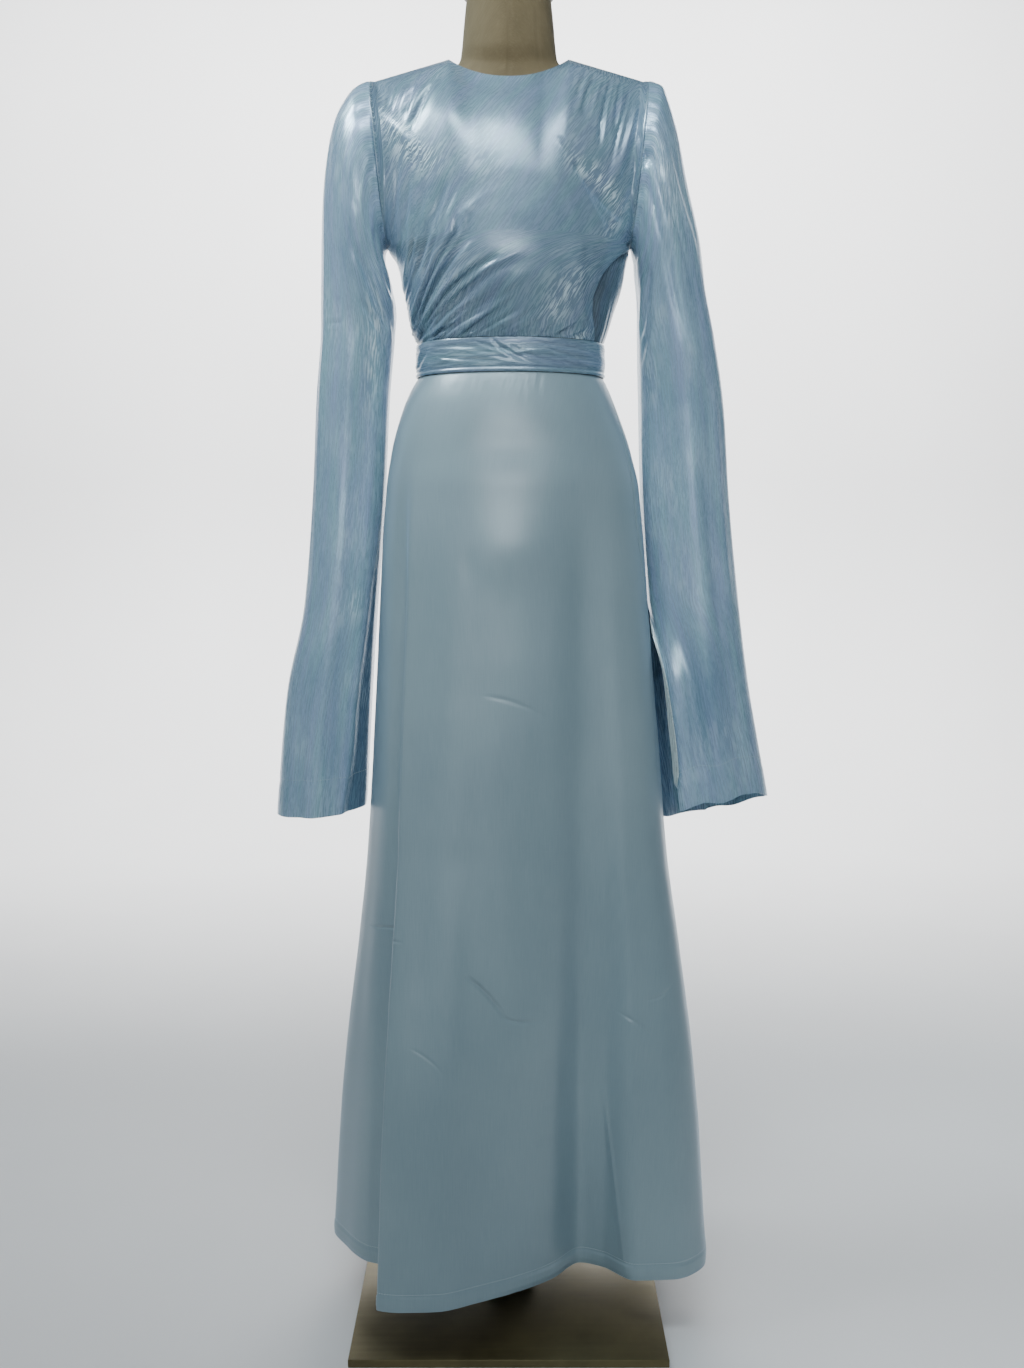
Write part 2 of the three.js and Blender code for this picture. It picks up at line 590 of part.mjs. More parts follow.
function skirtBack(u, v) {
  const z = mix(HEM, WAIST_LOW, v);
  const seam = radians(along(RIGHT_SEAM, "z", z, "turn"));
  return skirtPoint(mix(seam + skirtGap(z), 3 * RIGHT_ANGLE - skirtGap(z), u), z);
}

// The front's columns follow its ridges and valleys, with one more between each two.
const SKIRT_ROWS = steps(17);
const seamTurn = RIGHT_SEAM[0].turn;
const ridges = FLUTES.filter((row) => row.hip > -90 && row.hip < seamTurn).map((row) => row.hip);
const ridgeColumns = [-90, ...ridges, seamTurn].map((hip) => (hip + 90) / (seamTurn + 90));
const FRONT_COLUMNS = ridgeColumns.flatMap((u, index) => {
  return index === 0 ? [u] : [mix(ridgeColumns[index - 1], u, 0.5), u];
});

addSolid("skirt_front", clothWall(skirtFront, FRONT_COLUMNS, SKIRT_ROWS), COLOURS.skirt);
addSolid("skirt_back", clothWall(skirtBack, steps(26), SKIRT_ROWS), COLOURS.skirt);

// ---- Sleeves ----

function pressedBack(degrees, z) {
  const off = degrees - along(PRESSED_FOLD, "z", z, "turn");
  return along(PRESSED_FOLD, "z", z, "deep") * ease(0, 12, off) * (1 - ease(50, 90, off));
}

function sleevePoint(rows, hand, slit) {
  const keyed = rows.map((row, index) => ({ ...row, ring: index / (rows.length - 1) }));
  const at = (ring, column) => along(keyed, "ring", ring, column);
  return (u, v) => {
    const ring = 1 - v;
    const [inX, inZ] = [at(ring, "inX") * hand, at(ring, "inZ")];
    const [outX, outZ] = [at(ring, "outX") * hand, at(ring, "outZ")];
    const fromX = hand > 0 ? inX : outX;
    const fromZ = hand > 0 ? inZ : outZ;
    const toX = hand > 0 ? outX : inX;
    const toZ = hand > 0 ? outZ : inZ;
    const low = mix(fromZ, toZ, 0.5);
    const frontGap = radians(slit ? along(SLIT, "z", low, "front") : 0);
    const backGap = radians(slit ? along(SLIT, "z", low, "back") : 0);
    const seam = hand > 0 ? -RIGHT_ANGLE : RIGHT_ANGLE;
    const tiny = SEAM / 2 / SEAM_REACH;
    const start = hand > 0 ? seam + frontGap + tiny : seam + tiny;
    const end = seam + 4 * RIGHT_ANGLE - tiny - (hand > 0 ? backGap : 0);
    const turn = mix(start, end, u);
    const across = Math.sin(turn);
    const deep = Math.cos(turn);
    const depth = at(ring, deep > 0 ? "front" : "back");
    const degrees = wrapDegrees((turn * 180) / Math.PI);
    let rise = 0;
    for (const fold of SLEEVE_FOLDS) {
      const centre = hand * fold.turn + fold.lean * hand * ring;
      rise += fold.rise * bump(wrapDegrees(degrees - centre), fold.wide);
    }
    rise *= at(ring, "folds") * ease(0, 0.06, u) * (1 - ease(0.94, 1, u));
    const curl = slit ? along(SLIT, "z", low, "curl") * (1 - ease(0, 0.14, u)) : 0;
    const tail = slit ? along(SLIT, "z", low, "tail") * ease(0.88, 1, u) : 0;
    const pressed = slit ? 0 : pressedBack(degrees, low);
    const x = mix(fromX, toX, 0.5 + across / 2) + across * rise + hand * (ARMHOLE_GAP - tail);
    const y = at(ring, "mid") - depth * deep - deep * rise - curl + pressed;
    return [x, y, mix(fromZ, toZ, 0.5 + across / 2) + at(ring, "tip") * deep];
  };
}

const sleeveRows = steps(17).map((v) => 1 - (1 - v) ** 1.15);
const sleeveColumns = steps(SLEEVE_STEPS);
const rightSleeve = sleevePoint(RIGHT_SLEEVE, 1, true);
const leftSleeve = sleevePoint(LEFT_SLEEVE, -1, false);
addSolid("sleeve_right", clothWall(rightSleeve, sleeveColumns, sleeveRows), COLOURS.satin);
addSolid("sleeve_left", clothWall(leftSleeve, sleeveColumns, sleeveRows), COLOURS.satin);

// ---- Dress form ----

function formTorso() {
  const around = 26;
  const corners = [];
  for (const row of FORM) {
    for (let index = 0; index < around; index += 1) {
      const turn = (index / around) * 4 * RIGHT_ANGLE;
      const across = Math.sin(turn);
      const deep = Math.cos(turn);
      corners.push(
        row.half * across,
        -(deep > 0 ? row.front : row.back) * deep,
        mix(row.middle, row.side, across * across),
      );
    }
  }
  const foot = FORM.length * around;
  corners.push(0, 0, FORM[0].side, 0, 0, FORM[FORM.length - 1].side);
  const faces = [];
  for (let index = 0; index < around; index += 1) {
    const next = (index + 1) % around;
    for (let row = 0; row < FORM.length - 1; row += 1) {
      const low = row * around;
      const high = low + around;
      faces.push(low + index, low + next, high + next, low + index, high + next, high + index);
    }
    const top = (FORM.length - 1) * around;
    faces.push(foot, next, index, foot + 1, top + index, top + next);
  }
  return indexed(corners, faces);
}

function upright(radius, low, high, sides = 32, topRadius = radius) {
  const geometry = new THREE.CylinderGeometry(topRadius, radius, high - low, sides);
  geometry.rotateX(RIGHT_ANGLE);
  geometry.translate(0, 0, (low + high) / 2);
  return geometry;
}

addSolid("form_torso", formTorso(), COLOURS.linen);

const CAP_TALL = 14;
const CAP_HALF = 56;
const CAP_DEPTH = 50;
const CAP_BACK = 4; // how far its middle lies behind the form's
const neckTop = FORM[FORM.length - 1].side;
const cap = upright(1, neckTop + SEAM, neckTop + SEAM + CAP_TALL, 32);
cap.scale(CAP_HALF, CAP_DEPTH, 1);
cap.translate(0, CAP_BACK, 0);
addSolid("neck_cap", cap, COLOURS.wood);

addSolid("form_pole", upright(POLE_RADIUS, PLATE_THICK + SEAM, FORM[0].side - SEAM), COLOURS.steel);

// A collar on the plate holds the pole's foot.
function poleCollar() {
  const inside = POLE_RADIUS + SEAM;
  const foot = PLATE_THICK + SEAM;
  const outline = [
    new THREE.Vector2(inside, foot),
    new THREE.Vector2(COLLAR_RADIUS, foot),
    new THREE.Vector2(COLLAR_RADIUS, foot + COLLAR_TALL - 12),
    new THREE.Vector2(inside + 7, foot + COLLAR_TALL - 6),
    new THREE.Vector2(inside + 6, foot + COLLAR_TALL),
    new THREE.Vector2(inside, foot + COLLAR_TALL),
    new THREE.Vector2(inside, foot),
  ];
  return new THREE.LatheGeometry(outline, 24).rotateX(RIGHT_ANGLE);
}

addSolid("pole_collar", poleCollar(), COLOURS.steel);

const plate = new THREE.BoxGeometry(PLATE_WIDE, PLATE_WIDE, PLATE_THICK);
plate.translate(0, 0, PLATE_THICK / 2);
addSolid("base_plate", plate, COLOURS.bronze);

export default group;
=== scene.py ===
import math

import bpy
import numpy as np
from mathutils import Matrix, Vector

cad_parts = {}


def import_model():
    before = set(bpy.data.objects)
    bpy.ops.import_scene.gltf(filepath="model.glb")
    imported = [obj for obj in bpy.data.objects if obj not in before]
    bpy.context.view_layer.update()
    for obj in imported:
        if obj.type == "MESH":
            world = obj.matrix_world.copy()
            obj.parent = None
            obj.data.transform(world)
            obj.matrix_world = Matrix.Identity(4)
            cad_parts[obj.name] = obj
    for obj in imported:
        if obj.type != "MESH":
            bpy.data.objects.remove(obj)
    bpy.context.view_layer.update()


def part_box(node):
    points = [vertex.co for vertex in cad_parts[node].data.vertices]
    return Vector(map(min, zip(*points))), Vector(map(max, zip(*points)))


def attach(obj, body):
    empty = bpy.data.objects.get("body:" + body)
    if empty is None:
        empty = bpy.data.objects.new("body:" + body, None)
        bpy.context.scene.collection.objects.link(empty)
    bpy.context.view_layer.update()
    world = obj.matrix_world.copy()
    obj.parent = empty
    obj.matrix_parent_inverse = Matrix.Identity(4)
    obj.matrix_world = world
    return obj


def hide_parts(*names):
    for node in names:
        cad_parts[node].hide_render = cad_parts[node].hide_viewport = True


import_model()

# A long satin dress with bell sleeves on a limbless dress form.
# Shapes are worked out in millimetres and built in metres. X runs to the viewer's right,
# Y to the back and Z up, and the front of the dress faces -Y. Left and right are the viewer's.
# A turn is a direction round the body or sleeve: 0 in front and growing to the right.
# Tables give turns in degrees and everything else in millimetres or as a share.
# The camera, the lamps and the floor are placed in metres.

MM = 0.001
RIGHT_ANGLE = math.pi / 2
FULL_TURN = 4 * RIGHT_ANGLE

WALL = 1.1  # thickness of the cloth as shown
SEAM = 0.3  # gap between two pieces at their seam
SEAM_TURN = SEAM / 2 / 60  # half that gap as a turn, on a band or sleeve
SHOULDER_EASE = 0.3  # how much more the gap opens towards the shoulder
ARMHOLE_GAP = 1.6  # how far the sleeve stands off the body below its seam
TUCK_IN = 2.8  # how far the side panel lies behind the draped front's edge
TUCK_TURN = 9  # how far it reaches under that edge, in degrees

HEM = 78
WAIST_LOW = 1200
WAIST_TOP = 1241
ARMPIT = 1360
ARMHOLE_DEEP = 62
SHOULDER = 1562
SHOULDER_HALF = 171
NECK_HALF = 74
NECK_CORNER = 1590
NECK_FRONT = (37, 58)  # how far the neck's middle lies below its corners, and how far out
NECK_BACK = (10, 64)
KEYHOLE_MIDDLE = 1518
KEYHOLE_HALF = 7
CHEST_MIDDLE = -25
CHEST_WIDE = 125
GATHER_X = -190  # the gathers of the draped front spread from here, beyond the waist's left end
GATHER_Z = 1165

HEM_STITCH = 18  # height of the stitching above the edge
CUFF_STITCH = 45
STITCH_ABOVE = 3  # from the stitching's groove up to its thread
STITCH_PITCH = 3.4
STITCH_LONG = 2.5
STITCH_RADIUS = 0.3
STITCH_SIDES = 5
STITCH_THICK = (0.4, 1, 1, 0.4)  # share of the radius, from one end of a stitch to the other
STITCH_LIFT = (-0.1, 0.16, 0.16, -0.1)

DENSE_HEM = 26  # height of the hem's closely set rows
DENSE_ROWS = 18
SKIRT_ROWS = 184
SLEEVE_DEGREE = 0.9  # length of a degree round a sleeve
# Shares of the way along a crease or fold between which it grows, and between which it fades.
CREASE_FADE = (-0.08, 0.1, 0.6, 1.08)
SLEEVE_FADE = (-0.1, 0.15, 0.75, 1.1)
FOLD_FADE = (-0.12, 0.1, 0.72, 1.12)
LIP_RADIUS = 1.6
LIP_COLUMNS = 16
PAINTED_SHADE_HIGH = 785  # where a patch of painted shade darkens the right sleeve, over its layers lying together
PAINTED_SHADE_TALL = 80
PAINTED_SHADE_TURN = -6
PAINTED_SHADE_WIDE = 26

FORM_SIDES = 128
FORM_RINGS = 170
FORM_SEAMS = (0, 38, 90, 142, 180, 218, 270, 322)
CAP_LOW = 1664.3
CAP_TALL = 14
CAP_HALF = (56, 50)
POLE_RADIUS = 14
POLE_LOW = 10.3
POLE_TOP = 929.7
PLATE_HALF = 195
PLATE_THICK = 10
PLATE_EDGE = 0.9
# Outlines of the turned collar and button: radius and height of each point, from below.
COLLAR_OUTLINE = (
    (14.3, 10.3), (33.2, 10.3), (34, 11.1), (34, 19.6), (33.2, 20.3),
    (21.3, 26.3), (20.3, 31.6), (19.6, 32.3), (14.3, 32.3), (14.3, 10.3),
)
BUTTON_OUTLINE = (
    (0.05, -1.3), (3.7, -1.3), (4.35, -0.75), (4.5, -0.1),
    (4.3, 0.45), (3.4, 0.95), (2, 1.2), (0.05, 1.3),
)
BUTTON_PLACE = 0.9965  # share of the way up the back
LOOP_RADIUS = 6
LOOP_STRAND = 0.36
LOOP_STOPS = 180
LOOP_SIDES = 8
LOOP_TWISTS = 18

SHEEN = (0.45, 0.68, 0.95)  # tint of the satins' soft rim light
CAMERA_PLACE = (0.004, -1.922, 1.0043)
CAMERA_TILT = 5.67  # degrees that the camera looks down
FOCAL_LENGTH = 1500 / 1368  # share of the picture's long side
SENSOR = 36
WORLD_COLOUR = (0.62, 0.81, 1, 1)
WORLD_STRENGTH = 0.13
FLOOR_HALF = 8
FLOOR_NEAR = -6
FLOOR_HIGH = -0.0005
BACKDROP_FAR = 3.8
BACKDROP_HIGH = 5
COVE = 1.2  # radius of the curve between the floor and the backdrop
# Name, place, target, width and height, power, colour and spread in degrees of each lamp.
LAMPS = (
    ("ceiling_panel", (-0.3, -1.39, 3.24), (-0.05, -0.1, 1.47), (2.6, 0.3), 7.5, (0.82, 0.94, 1), 70),
    ("left_panel", (-1.75, -0.3, 3.1), (-0.05, -0.1, 1.5), (2, 0.46), 5.5, (0.84, 0.95, 1), 36),
    ("front_glow", (0, -2.9, 1.75), (0, -0.1, 1.1), (1.6, 0.6), 3.2, (0.97, 0.99, 1), 70),
    ("front_fill", (-0.3, -2.9, 2.7), (0, -0.1, 1.6), (2.4, 1.5), 10.5, (0.97, 0.99, 1), 64),
    ("back_light", (0.5, 2.6, 2.4), (0, 0, 1), (1.8, 0.8), 6, (1, 1, 1), 80),
    ("backdrop_wash", (0, 1.6, 4.2), (0, 3.8, 1.4), (5, 0.4), 260, (1, 1, 1), 100),
)


def table(text):
    """One array for each column of a short table, whose first line names the columns."""
    names, *rows = text.strip().splitlines()
    return dict(zip(names.split(), np.array([row.split() for row in rows], float).T))


# ---- The dress's own sections and large folds ----

# Half widths to the left and right, and depths to the front and back, at each height.
BODICE = table("""
z left right front back
1241 113 118 94 82
1256 121 124 103 85
1285 127 133 115 91
1313 133 142 124 97
1342 140 147 127 102
1360 151 151 126 105
1420 157 157 114 106
1480 163 163 100 101
1562 171 171 82 92
1600 171 171 74 88
""")

# The same for the skirt, whose outline turns from these rings into the hem's line as flare grows.
SKIRT = table("""
z left right front back flare
1200 115 119 93 82 0
1165 132 134 104 98 0
1104 149 155 114 116 0
1060 154 163 118 122 0.02
1000 155 164 118 124 0.07
900 155 165 116 122 0.14
760 155 168 114 120 0.24
600 155 172 112 120 0.37
480 157 180 112 120 0.52
353 160 184 114 122 0.72
222 168 188 116 124 0.87
78 170 190 118 126 1
""")

# A row for each ridge and valley of the skirt: its direction at the hips and its point at the hem.
FLUTES = table("""
hip x y
-180 -8 216
-162 -66 176
-144 -126 196
-124 -164 132
-104 -214 92
-90 -234 12
-76 -208 -46
-66 -184 -80
-60 -160 -96
-55 -147 -146
-49 -155 -197
-41 -128 -210
-28 -86 -208
-14 -39 -187
2 10 -160
17 52 -128
32 90 -84
43 118 -96
54 158 -131
66 206 -128
78 250 -88
90 258 -14
104 222 62
120 186 150
138 132 150
158 70 204
180 -8 216
""")

# Long folds of the skirt, and the share of each that is left at the hem.
SKIRT_FOLDS = table("""
turn rise wide top foot
-55 -6 5 1120 1
-48 4 5 1120 1
35 -4 10 1110 0
62 3 9 1000 0.5
-150 -4 11 1100 0.5
166 4 11 1080 0.5
128 -4 10 1060 0.5
""")

# Sharper lines and shallow swellings of the skirt that only the cloth shows.
SKIRT_LINES = table("""
turn rise wide top foot
-49 3.6 2.6 950 1
35 -2.5 7 1090 0.2
47 1.5 5 1080 0.3
""")

SKIRT_SWELLS = table("""
x z wide tall rise
6 990 50 40 5
0 1112 62 24 -3.4
-48 968 9 26 -1.4
10 760 60 70 1.6
60 400 70 60 1.6
""")

# Where the skirt's right seam runs.
RIGHT_SEAM = table("""
z turn
78 86
700 84
900 79
1060 70
1130 74
1200 86
""")

# Folds of the draped front, each from a low end or shoulder end to the other.
DRAPE_FOLDS = table("""
x0 z0 x1 z1 wide rise
-116 1262 -48 1372 9 -11
-112 1246 -20 1320 9 -11
-104 1236 -2 1294 7 -8
-60 1234 8 1276 7 -6
-124 1290 -76 1420 9 -6
94 1262 76 1352 8 5
77 1443 130 1398 9 -6
92 1420 126 1384 7 -5
""")

SHOULDER_PLEATS = table("""
x0 z0 x1 z1 wide rise
109 1562 89 1496 6 -4
127 1562 108 1462 7 -5
154 1530 124 1418 9 5
-101 1562 -124 1510 6 -4
-83 1556 -116 1484 7 -4
-162 1530 -104 1456 9 4
""")

# Where the draped front's loose edge runs over the right bust.
DRAPE_EDGE = table("""
z turn
1241 62
1257 56
1273 51
1289 49
1304 50
1318 53
1331 59
1341 66
1348 73
1354 81
1360 90
""")

# How far the upper chest's cloth stands out from the bodice's own line at each height.
CHEST_RISE = table("""
z rise
1350 0
1390 0.6
1408 1.5
1438 3.8
1495 6.8
1530 4.8
1565 1.5
1600 0
""")

# Rings of each sleeve from the armhole to the cuff: their inner and outer ends, how far back their
# middle lies, their depths, how strong the folds are and how far the front is tipped up.
LEFT_SLEEVE = table("""
inX inZ outX outZ mid front back folds tip
151 1360 171 1562 0 62 62 0 0
153 1352 190 1552 0 66 66 0.2 0
153 1342 212 1516 0 68 68 0.4 0
149 1328 223 1470 3 68 68 0.5 0
145 1310 230 1405 6 64 66 0.6 0
141 1282 233 1330 10 58 60 0.6 0
143 1250 236 1256 14 52 54 0.6 0
150 1180 243 1180 20 52 54 0.7 0
158 1050 251 1050 28 56 58 0.8 0
169 915 263 915 28 60 62 0.9 0
178 800 286 800 28 64 66 1 0
187 655 299 643 26 70 72 1.2 0
""")

RIGHT_SLEEVE = table("""
inX inZ outX outZ mid front back folds tip
151 1360 171 1562 0 62 62 0 0
153 1352 187 1556 0 66 66 0.2 0
155 1342 204 1510 0 68 68 0.4 0
156 1328 219 1440 3 68 68 0.5 0
158 1310 236 1370 6 64 66 0.6 0
160 1282 246 1305 8 60 62 0.6 0
161 1246 258 1246 10 58 60 0.6 0
164 1170 271 1170 20 58 60 0.7 0
168 1050 281 1050 26 60 62 0.8 0
176 940 293 940 30 64 66 0.9 0
188 820 307 820 30 68 70 1 0
202 636 334 664 28 74 76 1.2 20
""")

SLEEVE_FOLDS = table("""
turn rise wide lean
-122 -4 15 6
-62 2.5 14 -6
-28 -2.5 13 8
4 2.5 14 4
38 -2.5 14 -8
66 2 13 5
118 4 15 -6
150 -4 15 6
-158 4 15 -4
""")

# The slit of the right sleeve: how far its front and back edges stand from the underarm seam,
# how far the front edge curls forward, and how far the back edge reaches inward.
SLIT = table("""
z front back curl tail
640 38 12 20 8
820 35 10 18 8
880 20 5 9 4
930 0 0 0 0
1600 0 0 0 0
""")

# The slit's front edge is turned out over the sleeve: the turned width at each height above the cuff.
LIP = table("""
above wide
0 0
30 0
37 11
48 16
80 18
130 15
180 9
230 5
290 0
1000 0
""")

# The left sleeve's inner band is pressed back behind a fold: the fold's direction and the band's depth.
PRESSED_FOLD = table("""
z turn deep
655 34 18
720 42 17
800 45 14
930 54 9
1060 64 0
1600 64 0
""")

# Rings of the dress form: their height at the sides and in the middle, half width and depths.
FORM = table("""
side middle half front back
930 930 138 92 98
990 990 148 104 110
1060 1060 145 104 108
1130 1130 128 94 94
1190 1190 109 86 76
1240 1240 107 84 74
1290 1290 118 94 82
1330 1334 130 106 90
1368 1380 141 106 94
1430 1430 148 94 94
1494 1472 152 80 86
1549.5 1502 150 70 77
1565.5 1526 136 58 66
1575 1542 106 48 58
1577 1555 74 36 46
1586 1574 61 35 45
1604 1598 58 41 51
1626 1622 56 42 51
1664 1664 52 41 49
""")

# ---- Creases that the cloth shows beside its large folds ----

# Each runs from a low end to a high end. bend is how far its middle bows to its right.
# A negative deep is a trough and a positive one a ridge.
DRAPE_CREASES = table("""
x0 z0 x1 z1 bend wide deep
-119 1262 -30 1392 -9 2.6 -3.6
-117 1250 -44 1352 -8 2.2 -3
-114 1243 -8 1330 -13 2.4 -3.4
-112 1241 -34 1306 -6 1.9 -2.4
-109 1240 0 1300 5 2.2 -2.6
-98 1240 -30 1284 -3 1.8 -2
-86 1240 -22 1274 -2 1.8 -1.8
-64 1240 10 1286 1 2 -2
-47 1240 14 1272 0 1.8 -1.6
-22 1240 32 1274 2 1.8 -1.4
4 1240 50 1264 -1 1.8 -1.3
28 1240 66 1264 2 1.8 -1.4
52 1240 88 1258 -1 1.8 -1.4
70 1240 96 1252 1 1.6 -1.5
60 1246 98 1270 2 2 -1.2
-111 1322 -70 1430 1 2.8 -1.6
-122 1330 -96 1434 2 2.6 -1.5
-132 1352 -118 1446 3 2.6 -1.5
-141 1372 -133 1466 2 2.4 -1.4
-100 1318 -58 1420 -2 2.2 -1.2
-83 1335 -20 1408 -3 5 1
-98 1292 -30 1384 -8 4.6 1.7
-92 1262 18 1336 -9 3.6 2.2
-80 1254 20 1312 4 3.2 1.6
95 1411 142 1360 4 3.2 -1.6
77 1441 141 1381 5 3.4 -1.8
60 1470 122 1428 4 3 -1
88 1336 64 1404 5 4 1.2
72 1300 40 1360 3 5 -0.9
110 1568 86 1496 4 2 -2.6
99 1574 80 1520 2 1.8 -1.6
127 1564 106 1462 3 2 -3
139 1564 126 1484 1 1.8 -2
118 1566 98 1500 2 2 1.2
154 1520 122 1416 -3 3.4 1.4
160 1486 143 1400 -2 2.6 -1.4
146 1540 118 1430 1 1.8 -1.4
-136 1560 -150 1516 1 1.8 -2
-101 1562 -126 1512 2 2 -2.4
-83 1560 -118 1486 2 2 -2.8
-67 1580 -86 1538 1 2 -2.2
-92 1562 -122 1498 2 2 1.2
-118 1562 -140 1506 2 2 1.2
18 1566 34 1546 2 1.8 -1.2
30 1572 52 1550 2 1.8 -1.3
44 1580 66 1556 2 1.8 -1.2
-40 1568 -60 1548 1 2 -0.8
""")

BACK_CREASES = table("""
x0 z0 x1 z1 bend wide deep
-104 1564 -112 1470 3 3.2 -2.4
-86 1568 -84 1486 -2 2.8 -2
-128 1562 -136 1492 2 2.8 -1.8
98 1566 104 1476 -3 3 -2.2
118 1564 130 1484 2 3.2 -2.4
84 1570 78 1500 1 2.6 -1.6
-112 1243 -60 1306 -6 4 -2.2
-84 1241 -44 1300 3 3.4 -1.6
-52 1241 -28 1284 1 3 -1.4
110 1243 66 1314 6 4.2 -2
76 1241 46 1290 -2 3.2 -1.5
40 1241 26 1280 1 2.8 -1.2
-140 1372 -84 1404 4 4.6 -1.4
142 1376 92 1412 -4 4.6 -1.5
-96 1320 -22 1342 4 5.5 -1
92 1330 30 1350 -3 5.5 -0.9
""")

BAND_CREASES = table("""
x0 z0 x1 z1 bend wide deep
-112 1210 -96 1237 0 2.4 -1.6
-100 1206 -60 1218 3 2.2 -1
-92 1232 -24 1226 -2 2 -1
-84 1220 -10 1214 2 1.8 -0.9
-40 1236 20 1224 3 2 -1
-20 1238 30 1214 5 2.6 -1.6
0 1232 56 1212 3 2 -1.1
10 1222 60 1222 -3 2.2 1
30 1236 100 1230 2 1.8 -1.1
44 1228 108 1216 2 2 -1.2
64 1214 112 1206 2 1.8 -0.9
""")

# Creases of the skirt, as fine as the cloth is thin: they lie in its finish, in front and behind.
SKIRT_CREASES = table("""
x0 z0 x1 z1 bend wide deep
-49 472 -4 419 3 2.8 -2.4
-8 421 34 411 -3 2.4 -1.7
-117 389 -80 361 3 2.2 -0.35
-176 506 -132 513 2 2 -1.6
138 412 180 380 4 2.4 -0.9
168 428 206 441 -4 2.2 -0.8
120 300 144 96 0 3.2 1.2
-25 811 43 785 4 3 -0.6
""")

# Creases of a sleeve: direction from its front and height, at both ends.
LEFT_SLEEVE_CREASES = table("""
turn0 z0 turn1 z1 wide deep
52 1262 4 1352 5 -3
64 1248 22 1330 4 2.2
58 1236 10 1290 4 -2.2
70 1300 40 1372 5 -2.4
-52 1266 -20 1266 2.2 -1.4
34 984 66 982 2.4 -2
34 962 62 968 3 1.4
-30 1440 -22 1180 5 -2
-60 1420 -50 1120 6 1.8
""")

RIGHT_SLEEVE_CREASES = table("""
turn0 z0 turn1 z1 wide deep
-66 1250 -38 1330 5 -2.6
-58 1214 -30 1284 4 2
-30 1500 6 1240 5 -2.4
-12 1510 34 1300 5 -2.2
10 1520 52 1340 5 2
20 1100 28 860 6 -2.2
44 1180 50 900 6 2
-34 1040 -26 800 7 -1.1
""")

# Places where glints are painted as lighter colour on the shimmering cloth, each with its direction from the
# vertical.
PAINTED_GLINTS = table("""
x z long wide lean strong
-136 1486 46 15 -40 0.9
-100 1452 30 13 -60 0.6
96 1436 30 10 -60 0.9
120 1415 24 10 -40 0.8
124 1370 20 8 30 0.8
68 1292 40 15 40 0.7
92 1246 22 6 70 0.8
-200 1473 60 12 0 0.5
-167 1242 80 11 4 0.9
-193 917 16 12 0 0.7
189 1429 70 13 -10 0.8
177 1197 26 7 0 0.7
""")

# Short gathers of the skirt under the waistband, in a repeating row of three lengths.
GATHER_PLACES = (-44, -36, -27, -19, -12, -4, 3, 11, 18, 27, 37)
WAIST_GATHERS = {
    "x0": GATHER_PLACES,
    "z0": [WAIST_LOW - 18 - 8 * (number % 3) for number in range(len(GATHER_PLACES))],
    "x1": GATHER_PLACES,
    "z1": [WAIST_LOW - 3] * len(GATHER_PLACES),
    "bend": [0] * len(GATHER_PLACES),
    "wide": [1.8] * len(GATHER_PLACES),
    "deep": [-0.9] * len(GATHER_PLACES),
}


# ---- Curves and noise ----


def mix(low, high, share):
    return low + (high - low) * share


def ease(low, high, value):
    share = np.clip((value - low) / (high - low), 0, 1)
    return share * share * (3 - 2 * share)


def calm(share, low, high):
    """Grows from 0 to 1 up to the low share and falls back to 0 after the high one."""
    return ease(0, low, share) * (1 - ease(high, 1, share))


def bump(distance, wide):
    return np.exp(-((distance / wide) ** 2))


def along(rows, key, place, column):
    """Smooth value of one column at a place along another, without swinging past the rows."""
    places, values = rows[key], rows[column]
    if places[0] > places[-1]:
        places, values = places[::-1], values[::-1]
    wide = np.diff(places)
    slope = np.diff(values) / wide
    before, after = slope[:-1], slope[1:]
    total = np.where(before + after == 0, 1, before + after)
    middle = np.where(before * after > 0, 2 * before * after / total, 0)
    tangent = np.concatenate([slope[:1], middle, slope[-1:]])
    at = np.clip(place, places[0], places[-1])
    low = np.clip(np.searchsorted(places, at, side="right") - 1, 0, len(places) - 2)
    share = (at - places[low]) / wide[low]
    square, cube = share**2, share**3
    return (
        values[low] * (2 * cube - 3 * square + 1)
        + values[low + 1] * (3 * square - 2 * cube)
        + wide[low] * tangent[low] * (cube - 2 * square + share)
        + wide[low] * tangent[low + 1] * (cube - square)
    )


def ring_reader(rows, ring):
    """Gives any column of a table of rings at places from 0, its first row, to 1, its last."""
    keyed = dict(rows, ring=np.linspace(0, 1, len(rows["front"])))
    return lambda column: along(keyed, "ring", ring, column)


def noise(x, y, seed):
    """Smooth noise from -1 to 1 with one bump for each whole number."""
    lattice = np.random.default_rng(seed).uniform(-1, 1, (256, 256))
    column, row = np.floor(x).astype(int), np.floor(y).astype(int)
    right_share, up_share = ease(0, 1, x - column), ease(0, 1, y - row)
    column, row = column % 256, row % 256
    right, above = (column + 1) % 256, (row + 1) % 256
    low = mix(lattice[column, row], lattice[right, row], right_share)
    high = mix(lattice[column, above], lattice[right, above], right_share)
    return mix(low, high, up_share)


def sharp_noise(x, y, seed):
    """Noise with soft valleys between narrow crests, from -1 to 1."""
    return 1 - 2 * np.sqrt(noise(x, y, seed) ** 2 + 0.004)


def crease_profile(off, wide):
    """A narrow ridge with a soft trough on both sides."""
    return np.exp(-(np.abs(off / wide) ** 1.5)) - 0.35 * bump(np.abs(off) - 2 * wide, wide * 1.1)


